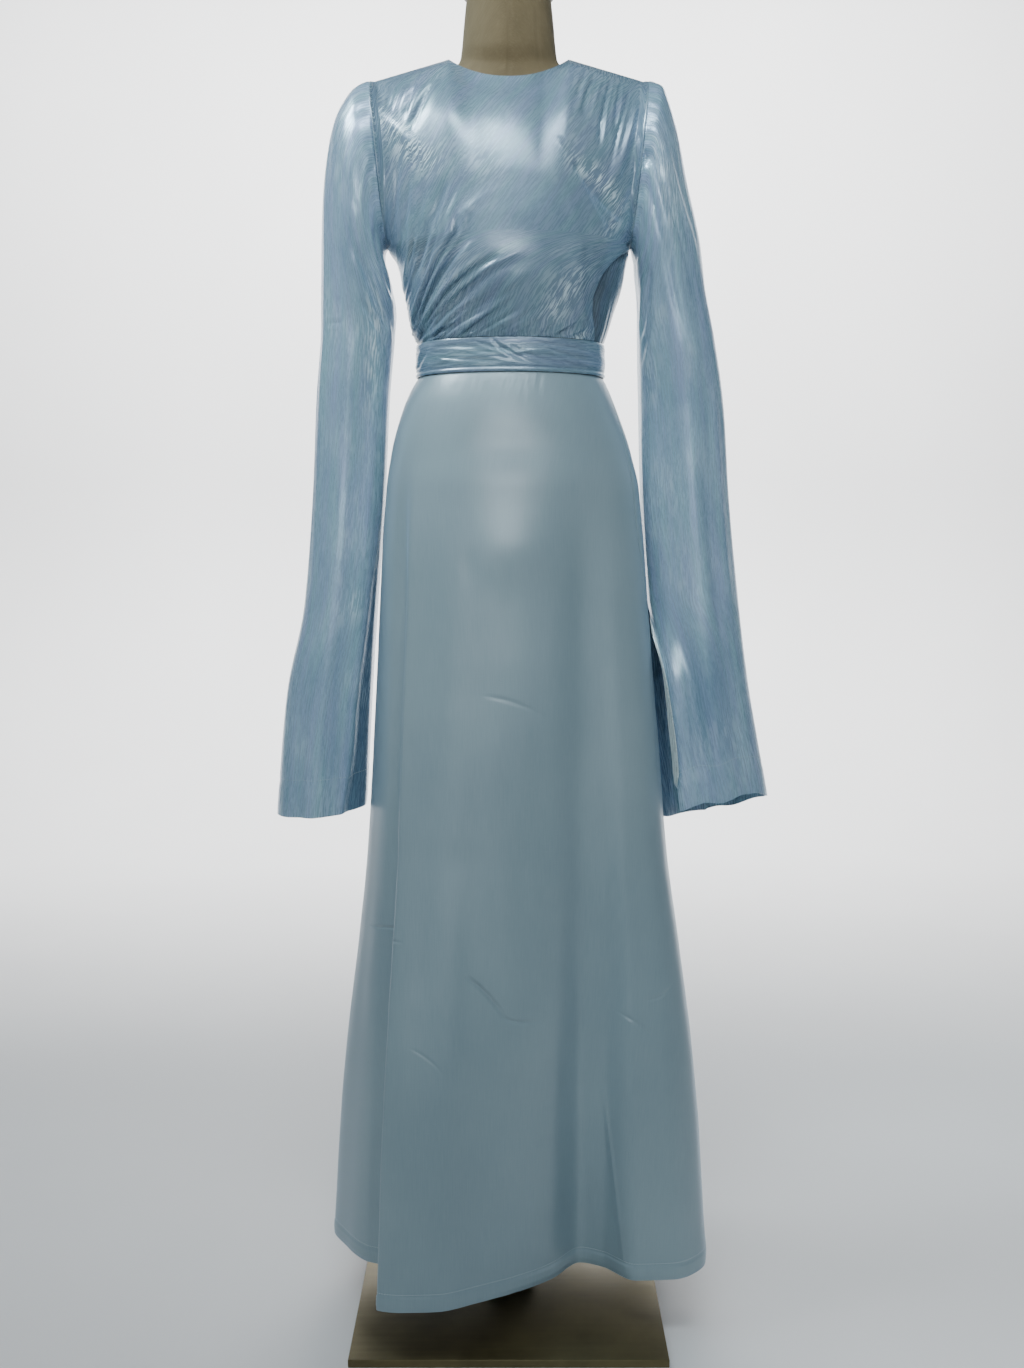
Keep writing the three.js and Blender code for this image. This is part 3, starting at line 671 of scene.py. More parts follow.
def creases(rows, x, z, fade=CREASE_FADE, profile=crease_profile):
    """Sum of the creases at a place. One that has a bend also widens on its way up."""
    rise = np.zeros_like(x)
    for x0, z0, x1, z1, *bend, wide, deep in zip(*rows.values()):
        run_x, run_z = x1 - x0, z1 - z0
        long = math.hypot(run_x, run_z)
        place = ((x - x0) * run_x + (z - z0) * run_z) / long**2
        off = ((x - x0) * run_z - (z - z0) * run_x) / long
        if bend:
            within = np.clip(place, 0, 1)
            off = off - bend[0] * 4 * within * (1 - within)
            wide = wide * mix(0.75, 1.5, within)
        left = ease(*fade[:2], place) * (1 - ease(*fade[2:], place))
        rise += deep * left * profile(off, wide)
    return rise


def painted_glints(points):
    """How strongly painted glints lighten the cloth's colour at each place of its front."""
    x, y, z = points[..., 0], points[..., 1], points[..., 2]
    strong = np.zeros_like(x)
    for at_x, at_z, long, wide, lean, much in zip(*PAINTED_GLINTS.values()):
        turn = math.radians(lean)
        up = (z - at_z) * math.cos(turn) + (x - at_x) * math.sin(turn)
        off = (x - at_x) * math.cos(turn) - (z - at_z) * math.sin(turn)
        strong += much * bump(up, long) * bump(off, wide)
    return np.clip(strong, 0, 1) * (1 - ease(20, 60, y))


# ---- Mesh building ----


def shares(columns, rows):
    """Share of the way across and up a piece at each point of its grid."""
    return np.meshgrid(np.linspace(0, 1, columns + 1), np.linspace(0, 1, rows + 1))


def grid_normals(points):
    """Outward directions of a grid whose columns run to the right and whose rows run up."""
    normal = np.cross(np.gradient(points, axis=1), np.gradient(points, axis=0))
    return normal / np.maximum(np.linalg.norm(normal, axis=2, keepdims=True), 1e-9)


def raised(base, rise):
    """The grid of points moved out of the cloth by the rise at each point."""
    return base + grid_normals(base) * rise[..., None]


def edge_roll(u, v, deep=0.45, reach=0.01):
    """Cloth dips a little into the seam at its edges."""
    nearest = np.minimum(np.minimum(u, 1 - u), np.minimum(v, 1 - v))
    return -deep * (1 - ease(0, reach, nearest))


def flat_lengths(points, axis):
    """Distance along a grid's rows or columns, as on the flat cloth."""
    step = np.linalg.norm(np.diff(points, axis=axis), axis=2)
    pad = [(0, 0), (0, 0)]
    pad[axis] = (1, 0)
    return np.pad(np.cumsum(step, axis=axis), pad)


def put(name, data):
    """An object for some data, placed in the scene."""
    made = bpy.data.objects.new(name, data)
    bpy.context.scene.collection.objects.link(made)
    return made


def mesh_object(name, corners, quads, uvs=None, smooth_under=55, marks=None):
    """A mesh from corners and flat cloth places in mm, four-cornered faces and a mark for each corner."""
    mesh = bpy.data.meshes.new(name)
    mesh.vertices.add(len(corners))
    mesh.vertices.foreach_set("co", (corners * MM).astype(np.float32).ravel())
    mesh.loops.add(quads.size)
    mesh.loops.foreach_set("vertex_index", quads.astype(np.int32).ravel())
    mesh.polygons.add(len(quads))
    mesh.polygons.foreach_set("loop_start", np.arange(0, quads.size, 4, dtype=np.int32))
    if uvs is not None:
        layer = mesh.uv_layers.new(name="cloth")
        layer.data.foreach_set("uv", (uvs[quads.ravel()] * MM).astype(np.float32).ravel())
    for mark, values in (marks or {}).items():
        layer = mesh.attributes.new(mark, "FLOAT", "POINT")
        layer.data.foreach_set("value", values.astype(np.float32))
    mesh.update(calc_edges=True)
    mesh.shade_smooth()
    mesh.set_sharp_from_angle(angle=math.radians(smooth_under))
    return put(name, mesh)


def grid_quads(index):
    """Faces of a grid of corner numbers."""
    corners = [index[:-1, :-1], index[:-1, 1:], index[1:, 1:], index[1:, :-1]]
    return np.stack(corners, axis=2).reshape(-1, 4)


def ring_quads(rings, sides, closed=False):
    """Faces between rings that each close on themselves, and between the last and the first if closed."""
    index = np.arange(rings * sides).reshape(rings, sides)
    return grid_quads(np.pad(index, ((0, int(closed)), (0, 1)), mode="wrap"))


def joined(corners, quads):
    """Corners of equal shapes and the faces of them all."""
    faces = [quads + number * len(corners[0]) for number in range(len(corners))]
    return np.concatenate(corners), np.concatenate(faces)


def wall_object(name, points, grain=0.0, marks=None):
    """A closed thin cloth wall whose outside is the grid of points. grain turns its thread's direction."""
    rows, columns = points.shape[:2]
    inside = points - grid_normals(points) * WALL
    corners = np.concatenate([points.reshape(-1, 3), inside.reshape(-1, 3)])
    index = np.arange(rows * columns).reshape(rows, columns)
    rim = np.concatenate([index[0], index[1:, -1], index[-1, -2::-1], index[-2:0:-1, 0]])
    after = np.roll(rim, -1)
    rim_quads = np.stack([rim, rim + index.size, after + index.size, after], axis=1)
    faces = [grid_quads(index), grid_quads(index + index.size)[:, ::-1], rim_quads]
    across, up = flat_lengths(points, 1), flat_lengths(points, 0)
    across = across - across[:, columns // 2][:, None]
    turned = across * math.cos(grain) - up * math.sin(grain)
    lifted = across * math.sin(grain) + up * math.cos(grain)
    flat = np.stack([turned, lifted], axis=2).reshape(-1, 2)
    doubled = {mark: np.tile(values.ravel(), 2) for mark, values in (marks or {}).items()}
    made = mesh_object(name, corners, np.concatenate(faces), np.concatenate([flat, flat]), marks=doubled)
    made["columns"] = columns
    return made


def outside(made):
    """The grid of points, in mm, that a cloth wall was made from."""
    places = np.empty(len(made.data.vertices) * 3)
    made.data.vertices.foreach_get("co", places)
    return places[: places.size // 2].reshape(-1, made["columns"], 3) / MM


def stitches(name, cloth, above):
    """Short raised stitches round a piece of cloth, at one distance above its lowest edge."""
    points = outside(cloth)
    height = flat_lengths(points, 0)
    column = np.arange(points.shape[1])
    row = (height > above + STITCH_ABOVE).argmax(axis=0)
    low, high = height[row - 1, column], height[row, column]
    share = (above + STITCH_ABOVE - low) / (high - low)
    line = mix(points[row - 1, column], points[row, column], share[:, None])
    length = flat_lengths(line[None], 1)[0]
    line_and_out = np.hstack([line, grid_normals(points)[row, column]])
    ring = np.arange(STITCH_SIDES) / STITCH_SIDES * FULL_TURN
    rings = len(STITCH_THICK)
    radius = STITCH_RADIUS * np.array(STITCH_THICK)[:, None, None]
    lift = np.array(STITCH_LIFT)[:, None]
    corners = []
    for start in np.arange(2, length[-1] - STITCH_PITCH, STITCH_PITCH):
        stops = start + np.linspace(0, STITCH_LONG, rings)
        here = np.stack([np.interp(stops, length, values) for values in line_and_out.T], axis=1)
        at, away = here[:, :3], here[:, 3:]
        ahead = (at[-1] - at[0]) / np.linalg.norm(at[-1] - at[0])
        aside = np.cross(ahead, away)
        circle = np.cos(ring)[:, None] * aside[:, None] + np.sin(ring)[:, None] * away[:, None]
        corners.append(((at + away * lift)[:, None] + circle * radius).reshape(-1, 3))
    return mesh_object(name, *joined(corners, ring_quads(rings, STITCH_SIDES)))


# ---- Bodice ----


def top_height(x, neck_drop):
    out = np.abs(x)
    shoulder = mix(NECK_CORNER, SHOULDER, (out - NECK_HALF) / (SHOULDER_HALF - NECK_HALF))
    neck = NECK_CORNER - neck_drop * (1 - np.minimum(out / NECK_HALF, 1) ** 2.4)
    return np.where(out >= NECK_HALF, shoulder, neck)


def armhole_depth(z):
    middle = (ARMPIT + SHOULDER) / 2
    share = np.clip((z - middle) / (SHOULDER - middle), -1, 1)
    return ARMHOLE_DEEP * np.sqrt(1 - share**2)


def bodice_point(side, turn, v, low=WAIST_TOP + SEAM):
    """A point of the bodice. side is -1 in front and 1 behind. v is 0 at the waist, 0.5 at the armpit."""
    across = np.sin(turn)
    neck_drop, neck_deep = NECK_FRONT if side < 0 else NECK_BACK
    top_x = across * SHOULDER_HALF
    top = top_height(top_x, neck_drop)
    upper = np.clip(v * 2 - 1, 0, 1)
    even = 0.5 + np.arcsin(np.clip(upper * 2 - 1, -1, 1)) / math.pi
    climb = mix(even, upper, ease(0.8, 1, np.abs(across)))
    z = np.where(v < 0.5, mix(low, ARMPIT, v * 2), mix(ARMPIT, top, climb))
    held = np.minimum(z, SHOULDER)
    half = np.where(across < 0, along(BODICE, "z", held, "left"), along(BODICE, "z", held, "right"))
    depth = along(BODICE, "z", z, "front" if side < 0 else "back")
    risen = ease(ARMPIT - 12, ARMPIT + 90, z)
    edge = armhole_depth(mix(ARMPIT, SHOULDER, upper))
    rounded = np.maximum(np.cos(turn), 0) ** mix(1, 1.25, risen)
    wall = depth * rounded + edge * (1 - rounded) ** 2.5
    out_of_neck = np.clip(np.abs(top_x) / NECK_HALF, 0, 1)
    top_y = neck_deep * (1 - out_of_neck**2.6)
    over = np.sqrt(np.maximum(0, 1 - climb**4))
    eased = np.where(v < 0.5, 1, mix(1 - climb**3, over, ease(0.5, 1, out_of_neck)))
    at_edge = np.where(v < 0.5, 0, ease(0.94, 1, np.abs(across)))
    y = mix(top_y + (wall - top_y) * eased, edge, at_edge)
    gap = SEAM / 2 + SHOULDER_EASE * ease(0.6, 1, v)
    return half * across, side * (y + gap), z


def drape_base(u, v):
    """The draped front's line with its large folds."""
    edge = along(DRAPE_EDGE, "z", mix(WAIST_TOP, ARMPIT, np.minimum(v * 2, 1)), "turn")
    turn = mix(-RIGHT_ANGLE, np.radians(np.where(v < 0.5, edge, 90)), u)
    x, y, z = bodice_point(-1, turn, v)
    rise = 0.6 * creases(DRAPE_FOLDS, x, z, FOLD_FADE, bump)
    rise += 0.55 * creases(SHOULDER_PLEATS, x, z, FOLD_FADE, bump)
    lift = 2 * ease(0.75, 1, u) * (1 - ease(0.2, 0.42, v))
    push = rise * calm(u, 0.06, 0.93) * calm(v, 0.05, 0.9) + lift
    return np.stack([x + np.sin(turn) * push * 0.6, y - np.cos(turn * 0.8) * push, z], axis=2)


def gathers(x, z):
    """Fine folds that fan out from the gathered waist and die away over the bust."""
    away = np.hypot(x - GATHER_X, z - GATHER_Z)
    turn = np.arctan2(z - GATHER_Z, x - GATHER_X)
    near = 1 - ease(110, 260, away)
    low = 1 - ease(1241, 1290, z)
    coarse = sharp_noise(turn * 26, away / 90, 11) * (0.9 * near + 0.35 * low)
    fine = sharp_noise(turn * 54 + 7, away / 60, 12) * (0.45 * near + 0.3 * low)
    return coarse + fine


def drape():
    u, v = shares(190, 150)
    base = drape_base(u, v)
    x, z = base[..., 0], base[..., 2]
    rise = creases(DRAPE_CREASES, x, z) + gathers(x, z)
    rise += 0.2 * noise(x / 23 + 5, z / 31, 13) * ease(1380, 1440, z)
    still = calm(u, 0.03, 0.975) * calm(v, 0.02, 0.965)
    deepest = mix(-5, -2.2, ease(1470, 1510, z))
    rise = np.clip(1.25 * rise * still, deepest, 4.5) + edge_roll(u, v)
    rise += along(CHEST_RISE, "z", z, "rise") * bump(x - CHEST_MIDDLE, CHEST_WIDE) * still
    points = raised(base, rise)
    # Marks where glints are painted into the front's colour as highlights.
    return wall_object("draped_front", points, grain=0.6, marks={"painted_glint": painted_glints(points)})


def side_panel():
    """The panel under the draped front's edge. It ends two rows below the armpit's point."""
    u, v = (share[:-2] for share in shares(60, 90))
    edge = along(DRAPE_EDGE, "z", mix(WAIST_TOP, ARMPIT, v), "turn")
    turn = mix(np.radians(edge - TUCK_TURN), RIGHT_ANGLE, u)
    x, y, z = bodice_point(-1, turn, v / 2)
    inset = TUCK_IN * (1 - ease(1, TUCK_TURN, np.degrees(turn) - edge))
    base = np.stack([x - np.sin(turn) * inset, y + np.cos(turn) * inset, z], axis=2)
    flow = sharp_noise((x + y) / 9, z / 55, 21)
    rise = 0.4 * flow * ease(0.3, 0.6, u) * (1 - ease(0.93, 1, u))
    return wall_object("bodice_side_panel", raised(base, rise))


def keyhole(z):
    """Half the width of the back's opening at each height."""
    open_here = bump(z - KEYHOLE_MIDDLE, 26) * ease(1460, 1500, z) * (1 - ease(1545, 1566, z))
    return SEAM / 2 + KEYHOLE_HALF * open_here


def back_half(name, hand):
    """Half of the back. hand is 1 on the right and -1 on the left."""
    u, v = shares(84, 130)
    share = u if hand > 0 else 1 - u
    turn = hand * mix(RIGHT_ANGLE, 0, share)
    x, y, z = bodice_point(1, turn, v)
    x = x + hand * keyhole(z) * ease(0.55, 1, share)
    base = np.stack([x, y, z], axis=2)
    rise = creases(BACK_CREASES, x, z) + 0.5 * noise(x / 24, z / 33, 31)
    rise += 0.7 * sharp_noise(x / 8, z / 60, 32) * (1 - ease(1241, 1300, z))
    still = calm(share, 0.04, 0.94) * calm(v, 0.02, 0.965)
    rise = np.clip(rise * still, -4, 3) + edge_roll(u, v)
    return wall_object(name, raised(base, rise), grain=0.25 * hand)


# ---- Waistband and skirt ----


def ring_point(rows, z, turn):
    across, deep = np.sin(turn), np.cos(turn)
    half = np.where(across < 0, along(rows, "z", z, "left"), along(rows, "z", z, "right"))
    depth = np.where(deep > 0, along(rows, "z", z, "front"), along(rows, "z", z, "back"))
    return half * across, -depth * deep


def waistband(name, middle):
    """Half of the waistband, a quarter turn to both sides of its middle."""
    u, v = shares(200, 34)
    z = mix(WAIST_LOW + SEAM, WAIST_TOP, v)
    turn = mix(middle - RIGHT_ANGLE + SEAM_TURN, middle + RIGHT_ANGLE - SEAM_TURN, u)
    x, y = ring_point(SKIRT, np.full_like(z, WAIST_LOW), turn)
    swell = 1.2 + 0.8 * np.sin(math.pi * v)
    base = np.stack([x + np.sin(turn) * swell, y - np.cos(turn) * swell, z], axis=2)
    long = flat_lengths(base, 1)
    rise = creases(BAND_CREASES, x if middle == 0 else -x, z) * 0.9
    rise += 0.45 * sharp_noise(long / 46, (z + 0.12 * long) / 5, 41)
    rise += 0.25 * sharp_noise(long / 60, (z - 0.1 * long) / 3.2, 42)
    still = ease(0.16, 0.3, v) * (1 - ease(0.9, 1, v)) * calm(u, 0.02, 0.98)
    piping = 0.9 * bump(v - 0.055, 0.04) - bump(v - 0.135, 0.025)
    rise = rise * still + piping + edge_roll(u, v, deep=0.5, reach=0.02)
    return wall_object(name, raised(base, rise), grain=RIGHT_ANGLE)


def wrap_degrees(degrees):
    return (degrees + 180) % 360 - 180


def skirt_point(turn, z):
    degrees = wrap_degrees(np.degrees(turn))
    ring_x, ring_y = ring_point(SKIRT, z, turn)
    flare = along(SKIRT, "z", z, "flare")
    rise = np.zeros_like(z)
    for rows in (SKIRT_FOLDS, SKIRT_LINES):
        for fold_turn, deep, wide, top, foot in zip(*rows.values()):
            left = (1 - ease(top - 200, top, z)) * mix(1, foot, flare)
            rise += deep * left * bump(wrap_degrees(degrees - fold_turn), wide)
    x = mix(ring_x, along(FLUTES, "hip", degrees, "x"), flare) + np.sin(turn) * rise
    y = mix(ring_y, along(FLUTES, "hip", degrees, "y"), flare) - np.cos(turn) * rise
    return np.stack([x, y, z], axis=2)


def flute_columns(from_hip, to_hip, between):
    """Places across a panel, with the same number of columns between each two ridges or valleys."""
    hips = FLUTES["hip"] % 360 if from_hip > 0 else FLUTES["hip"]
    inner = np.unique(hips[(hips > from_hip) & (hips < to_hip)])
    stops = [from_hip, *inner, to_hip]
    fine = [np.linspace(start, end, between, endpoint=False) for start, end in zip(stops, stops[1:])]
    return (np.append(np.concatenate(fine), to_hip) - from_hip) / (to_hip - from_hip)


def skirt(name, front):
    seam_turn = RIGHT_SEAM["turn"][0]
    columns = flute_columns(-90, seam_turn, 10) if front else flute_columns(seam_turn, 270, 15)
    tall = WAIST_LOW - HEM
    dense = np.linspace(0, DENSE_HEM, DENSE_ROWS)[:-1]
    heights = np.concatenate([dense, np.linspace(DENSE_HEM, tall, SKIRT_ROWS)])
    u, v = np.meshgrid(columns, heights / tall)
    z = mix(HEM, WAIST_LOW, v)
    seam = np.radians(along(RIGHT_SEAM, "z", z, "turn"))
    gap = SEAM / 2 / mix(45, 130, along(SKIRT, "z", z, "flare"))
    if front:
        turn = mix(-RIGHT_ANGLE + gap, seam - gap, u)
    else:
        turn = mix(seam + gap, 3 * RIGHT_ANGLE - gap, u)
    base = skirt_point(turn, z)
    x = base[..., 0]
    rise = creases(WAIST_GATHERS, x, z)
    for at_x, at_z, wide, high, swell in zip(*SKIRT_SWELLS.values()):
        rise += swell * bump(x - at_x, wide) * bump(z - at_z, high)
    hung = 1 - ease(600, 1150, z)
    rise += 1.4 * noise(x / 42 + 9, z / 260, 51 + front) * mix(0.25, 1, hung)
    rise += 0.5 * noise(x / 17 + 3, z / 120, 53 + front) * hung
    rise += 0.5 * noise(x / 60, z / 34 + 8, 55 + front) * hung
    rise += 0.45 * sharp_noise(x / 5.5, z / 30, 57) * ease(1165, 1196, z)
    still = calm(u, 0.02, 0.98) * (1 - ease(0.99, 1, v))
    turned_hem = 0.8 * (1 - ease(HEM_STITCH - 1, HEM_STITCH + 3, z - HEM))
    groove = -0.7 * bump(z - HEM - HEM_STITCH, 1.8)
    rise = rise * still + turned_hem + groove + edge_roll(u, v, deep=0.8, reach=0.006)
    return wall_object(name, raised(base, rise))


# ---- Sleeves ----


def pressed_back(degrees, z):
    off = degrees - along(PRESSED_FOLD, "z", z, "turn")
    return along(PRESSED_FOLD, "z", z, "deep") * ease(0, 7, off) * (1 - ease(50, 90, off))


def sleeve_base(rows, hand, slit, u, v):
    """A sleeve's line with its large folds, and the direction of each point."""
    at = ring_reader(rows, 1 - v)
    ends = [(at("inX") * hand, at("inZ")), (at("outX") * hand, at("outZ"))]
    (from_x, from_z), (to_x, to_z) = ends[::hand]
    low = mix(from_z, to_z, 0.5)
    seam = -RIGHT_ANGLE * hand
    start = seam + SEAM_TURN
    end = seam + FULL_TURN - SEAM_TURN
    if slit:
        start = start + np.radians(along(SLIT, "z", low, "front"))
        end = end - np.radians(along(SLIT, "z", low, "back"))
    turn = mix(start, end, u)
    across, deep = np.sin(turn), np.cos(turn)
    depth = np.where(deep > 0, at("front"), at("back"))
    degrees = wrap_degrees(np.degrees(turn))
    rise = np.zeros_like(u)
    for fold_turn, fold_rise, wide, lean in zip(*SLEEVE_FOLDS.values()):
        centre = hand * (fold_turn + lean * (1 - v))
        rise += fold_rise * bump(wrap_degrees(degrees - centre), wide)
    rise *= at("folds") * calm(u, 0.06, 0.94)
    gap = mix(ARMHOLE_GAP, SEAM, ease(0.97, 1, v))
    if slit:
        gap = gap - along(SLIT, "z", low, "tail") * ease(0.88, 1, u)
        shift = -along(SLIT, "z", low, "curl") * (1 - ease(0, 0.14, u))
    else:
        shift = pressed_back(degrees, low)
    x = mix(from_x, to_x, 0.5 + across / 2) + across * rise + hand * gap
    y = at("mid") - depth * deep - deep * rise + shift
    z = mix(from_z, to_z, 0.5 + across / 2) + at("tip") * deep
    return np.stack([x, y, z], axis=2), degrees


def crinkles(degrees, z, v, seed):
    """Gathers of a sleeve's head and fine crinkles all the way down."""
    head_share = (z - ARMPIT) / (SHOULDER - ARMPIT)
    gathered = sharp_noise(degrees / 9, v * 6, seed) * ease(0.86, 0.97, v) * ease(-0.4, 0.4, head_share)
    crinkle = 0.3 * sharp_noise(degrees / 11 + v * 3, v * 7, seed + 1)
    fine = 0.25 * sharp_noise(degrees / 4.6 + v * 2, v * 11, seed + 2)
    thin = 0.14 * sharp_noise(degrees / 2.6, v * 16, seed + 5)
    slow = 1.2 * noise(degrees / 26, v * 5, seed + 3)
    return 1.5 * gathered + (crinkle + fine + thin + slow) * (1 - 0.6 * ease(0.8, 0.99, v))


def sleeve(name, rows, hand, slit, crease_rows, seed):
    ends = {end: crease_rows[end] * SLEEVE_DEGREE for end in ("turn0", "turn1")}
    u, v = shares(132, 230)
    v = 1 - (1 - v) ** 1.15
    base, degrees = sleeve_base(rows, hand, slit, u, v)
    z = base[..., 2]
    rise = crinkles(degrees, z, v, seed)
    rise += creases(crease_rows | ends, degrees * SLEEVE_DEGREE, z, SLEEVE_FADE)
    still = calm(u, 0.03, 0.97) * (1 - ease(0.985, 1, v))
    above = flat_lengths(base, 0)
    groove = -0.8 * bump(above - CUFF_STITCH, 1.8)
    cuff = 0.35 * (1 - ease(CUFF_STITCH - 1, CUFF_STITCH + 2, above))
    rise = np.clip(rise, -4.5, 4) * still + groove + cuff + edge_roll(u, v, deep=0.4, reach=0.006)
    points = raised(base, rise)
    points[..., 2] += 3.5 * noise(degrees / 24, v * 0, seed + 4) * (1 - ease(0, 0.08, v))
    lip_tone_and_highlight = np.zeros_like(z)
    if slit:
        # Painted shade on the slit's back edge, and a patch of painted shade where the layers lie together.
        doubled = ease(0.9, 0.93, u) * (1 - ease(800, 900, z))
        doubled += 0.75 * bump(z - PAINTED_SHADE_HIGH, PAINTED_SHADE_TALL) * bump(degrees - PAINTED_SHADE_TURN, PAINTED_SHADE_WIDE)
        points, lip_tone_and_highlight, doubled = turned_lip(points, doubled)
    else:
        # Painted shade on the band pressed back behind the fold.
        doubled = np.clip(pressed_back(degrees, z) / 9, 0, 1) * ease(0, 60, degrees)
    return wall_object(name, points, marks={"painted_glint": painted_glints(points), "lip_tone_and_highlight": lip_tone_and_highlight, "doubled": doubled})


def turned_lip(points, doubled):
    """Adds the cloth that is rolled out from the slit's front edge and laid back on the sleeve."""
    above = flat_lengths(points, 0)[:, :1]
    away = points[:, 1] - points[:, 0]
    away /= np.linalg.norm(away, axis=1, keepdims=True)
    out = grid_normals(points)[:, 0]
    past = along(LIP, "above", above, "wide") * np.linspace(1, 0, LIP_COLUMNS, endpoint=False)
    half_turn = math.pi * LIP_RADIUS
    turn = np.minimum(past, half_turn) / LIP_RADIUS
    straight = np.maximum(past - half_turn, 0)
    along_cloth = straight - LIP_RADIUS * np.sin(turn)
    off_cloth = LIP_RADIUS * (1 - np.cos(turn)) + 0.06 * straight
    rolled = points[:, :1] + away[:, None] * along_cloth[..., None] + out[:, None] * off_cloth[..., None]
    # The lip is painted lighter: the paler wrong side of the cloth, with a painted highlight.
    lip_tone_and_highlight = np.concatenate([ease(0.5, 3, past), np.zeros(points.shape[:2])], axis=1)
    doubled = np.concatenate([np.zeros(past.shape), doubled], axis=1)
    return np.concatenate([rolled, points], axis=1), lip_tone_and_highlight, doubled


# ---- Dress form, button and loop ----


def form_torso():
    turns = np.arange(FORM_SIDES) / FORM_SIDES * FULL_TURN
    ring, turn = np.meshgrid(np.linspace(0, 1, FORM_RINGS), turns, indexing="ij")
    at = ring_reader(FORM, ring)
    across, deep = np.sin(turn), np.cos(turn)
    half = at("half")
    depth = np.where(deep > 0, at("front"), at("back"))
    seams = np.zeros_like(turn)
    for seam_turn in FORM_SEAMS:
        seams += bump(np.radians(wrap_degrees(np.degrees(turn) - seam_turn)) * half, 2)
    shrink = 0.6 * seams + 0.3
    z = mix(at("middle"), at("side"), across**2)
    points = np.stack([(half - shrink) * across, -(depth - shrink) * deep, z], axis=2)
    ends = points[[0, -1]] * [0.01, 0.01, 1]
    points = np.concatenate([ends[:1], points, ends[1:]])
    flat = np.stack([flat_lengths(points, 1), flat_lengths(points, 0)], axis=2).reshape(-1, 2)
    return mesh_object("form_cover", points.reshape(-1, 3), ring_quads(len(points), FORM_SIDES), flat)


def lay_on_back(made, node):
    """Leans a flat piece like the back of the neck and moves it to the middle of its node."""
    near = np.array([BUTTON_PLACE - 0.002, BUTTON_PLACE + 0.002])
    x, y, z = bodice_point(1, np.full(2, 0.02), near)
    made.rotation_euler.x = math.atan2(y[0] - y[1], z[1] - z[0]) - RIGHT_ANGLE
    made.location = np.mean(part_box(node), axis=0)
    return made


def thread_loop():
    """A ring of two strands twisted round each other."""
    turn = np.arange(LOOP_STOPS)[:, None] / LOOP_STOPS * FULL_TURN
    around = np.arange(LOOP_SIDES) / LOOP_SIDES * FULL_TURN
    corners = []
    for strand in range(2):
        phase = turn * LOOP_TWISTS + strand * math.pi
        radius = LOOP_RADIUS + LOOP_STRAND * (0.85 * np.cos(phase) + np.cos(around))
        height = LOOP_STRAND * (0.85 * np.sin(phase) + np.sin(around))
        points = np.stack([radius * np.cos(turn), radius * np.sin(turn), height], axis=2)
        corners.append(points.reshape(-1, 3))
    quads = ring_quads(LOOP_STOPS, LOOP_SIDES, closed=True)[:, ::-1]
    return mesh_object("twisted_thread_loop", *joined(corners, quads))


def lathe(name, outline, sides=64, squash=(1, 1), shift=0, smooth_under=30):
    """A turned shape from its outline of (radius, height) points, shifted to the back."""
    outline = np.array(outline, float)
    turn = np.arange(sides) / sides * FULL_TURN
    x = outline[:, :1] * np.cos(turn) * squash[0]
    y = outline[:, :1] * np.sin(turn) * squash[1] + shift
    z = np.repeat(outline[:, 1:], sides, axis=1)
    corners = np.stack([x, y, z], axis=2).reshape(-1, 3)
    return mesh_object(name, corners, ring_quads(len(outline), sides), smooth_under=smooth_under)


def rounded(radius, low, high, edge, from_radius=0.05):
    """Outline of a disc or bar with rounded edges."""
    turns = np.linspace(0, RIGHT_ANGLE, 6)
    foot = [(radius - edge + edge * math.sin(t), low + edge - edge * math.cos(t)) for t in turns]
    head = [(radius - edge + edge * math.cos(t), high - edge + edge * math.sin(t)) for t in turns]
    return [(from_radius, low), *foot, *head, (from_radius, high)]


def base_plate():
    corners = [
        (x * PLATE_HALF, y * PLATE_HALF, z) for z in (0, PLATE_THICK) for y in (-1, 1) for x in (-1, 1)
    ]
    faces = [(0, 2, 3, 1), (4, 5, 7, 6), (0, 1, 5, 4), (1, 3, 7, 5), (3, 2, 6, 7), (2, 0, 4, 6)]
    made = mesh_object("bronze_plate", np.array(corners, float), np.array(faces), smooth_under=180)
    bevel = made.modifiers.new("edges", "BEVEL")
    bevel.width = PLATE_EDGE * MM
    bevel.segments = 3
    return made


# ---- Materials ----


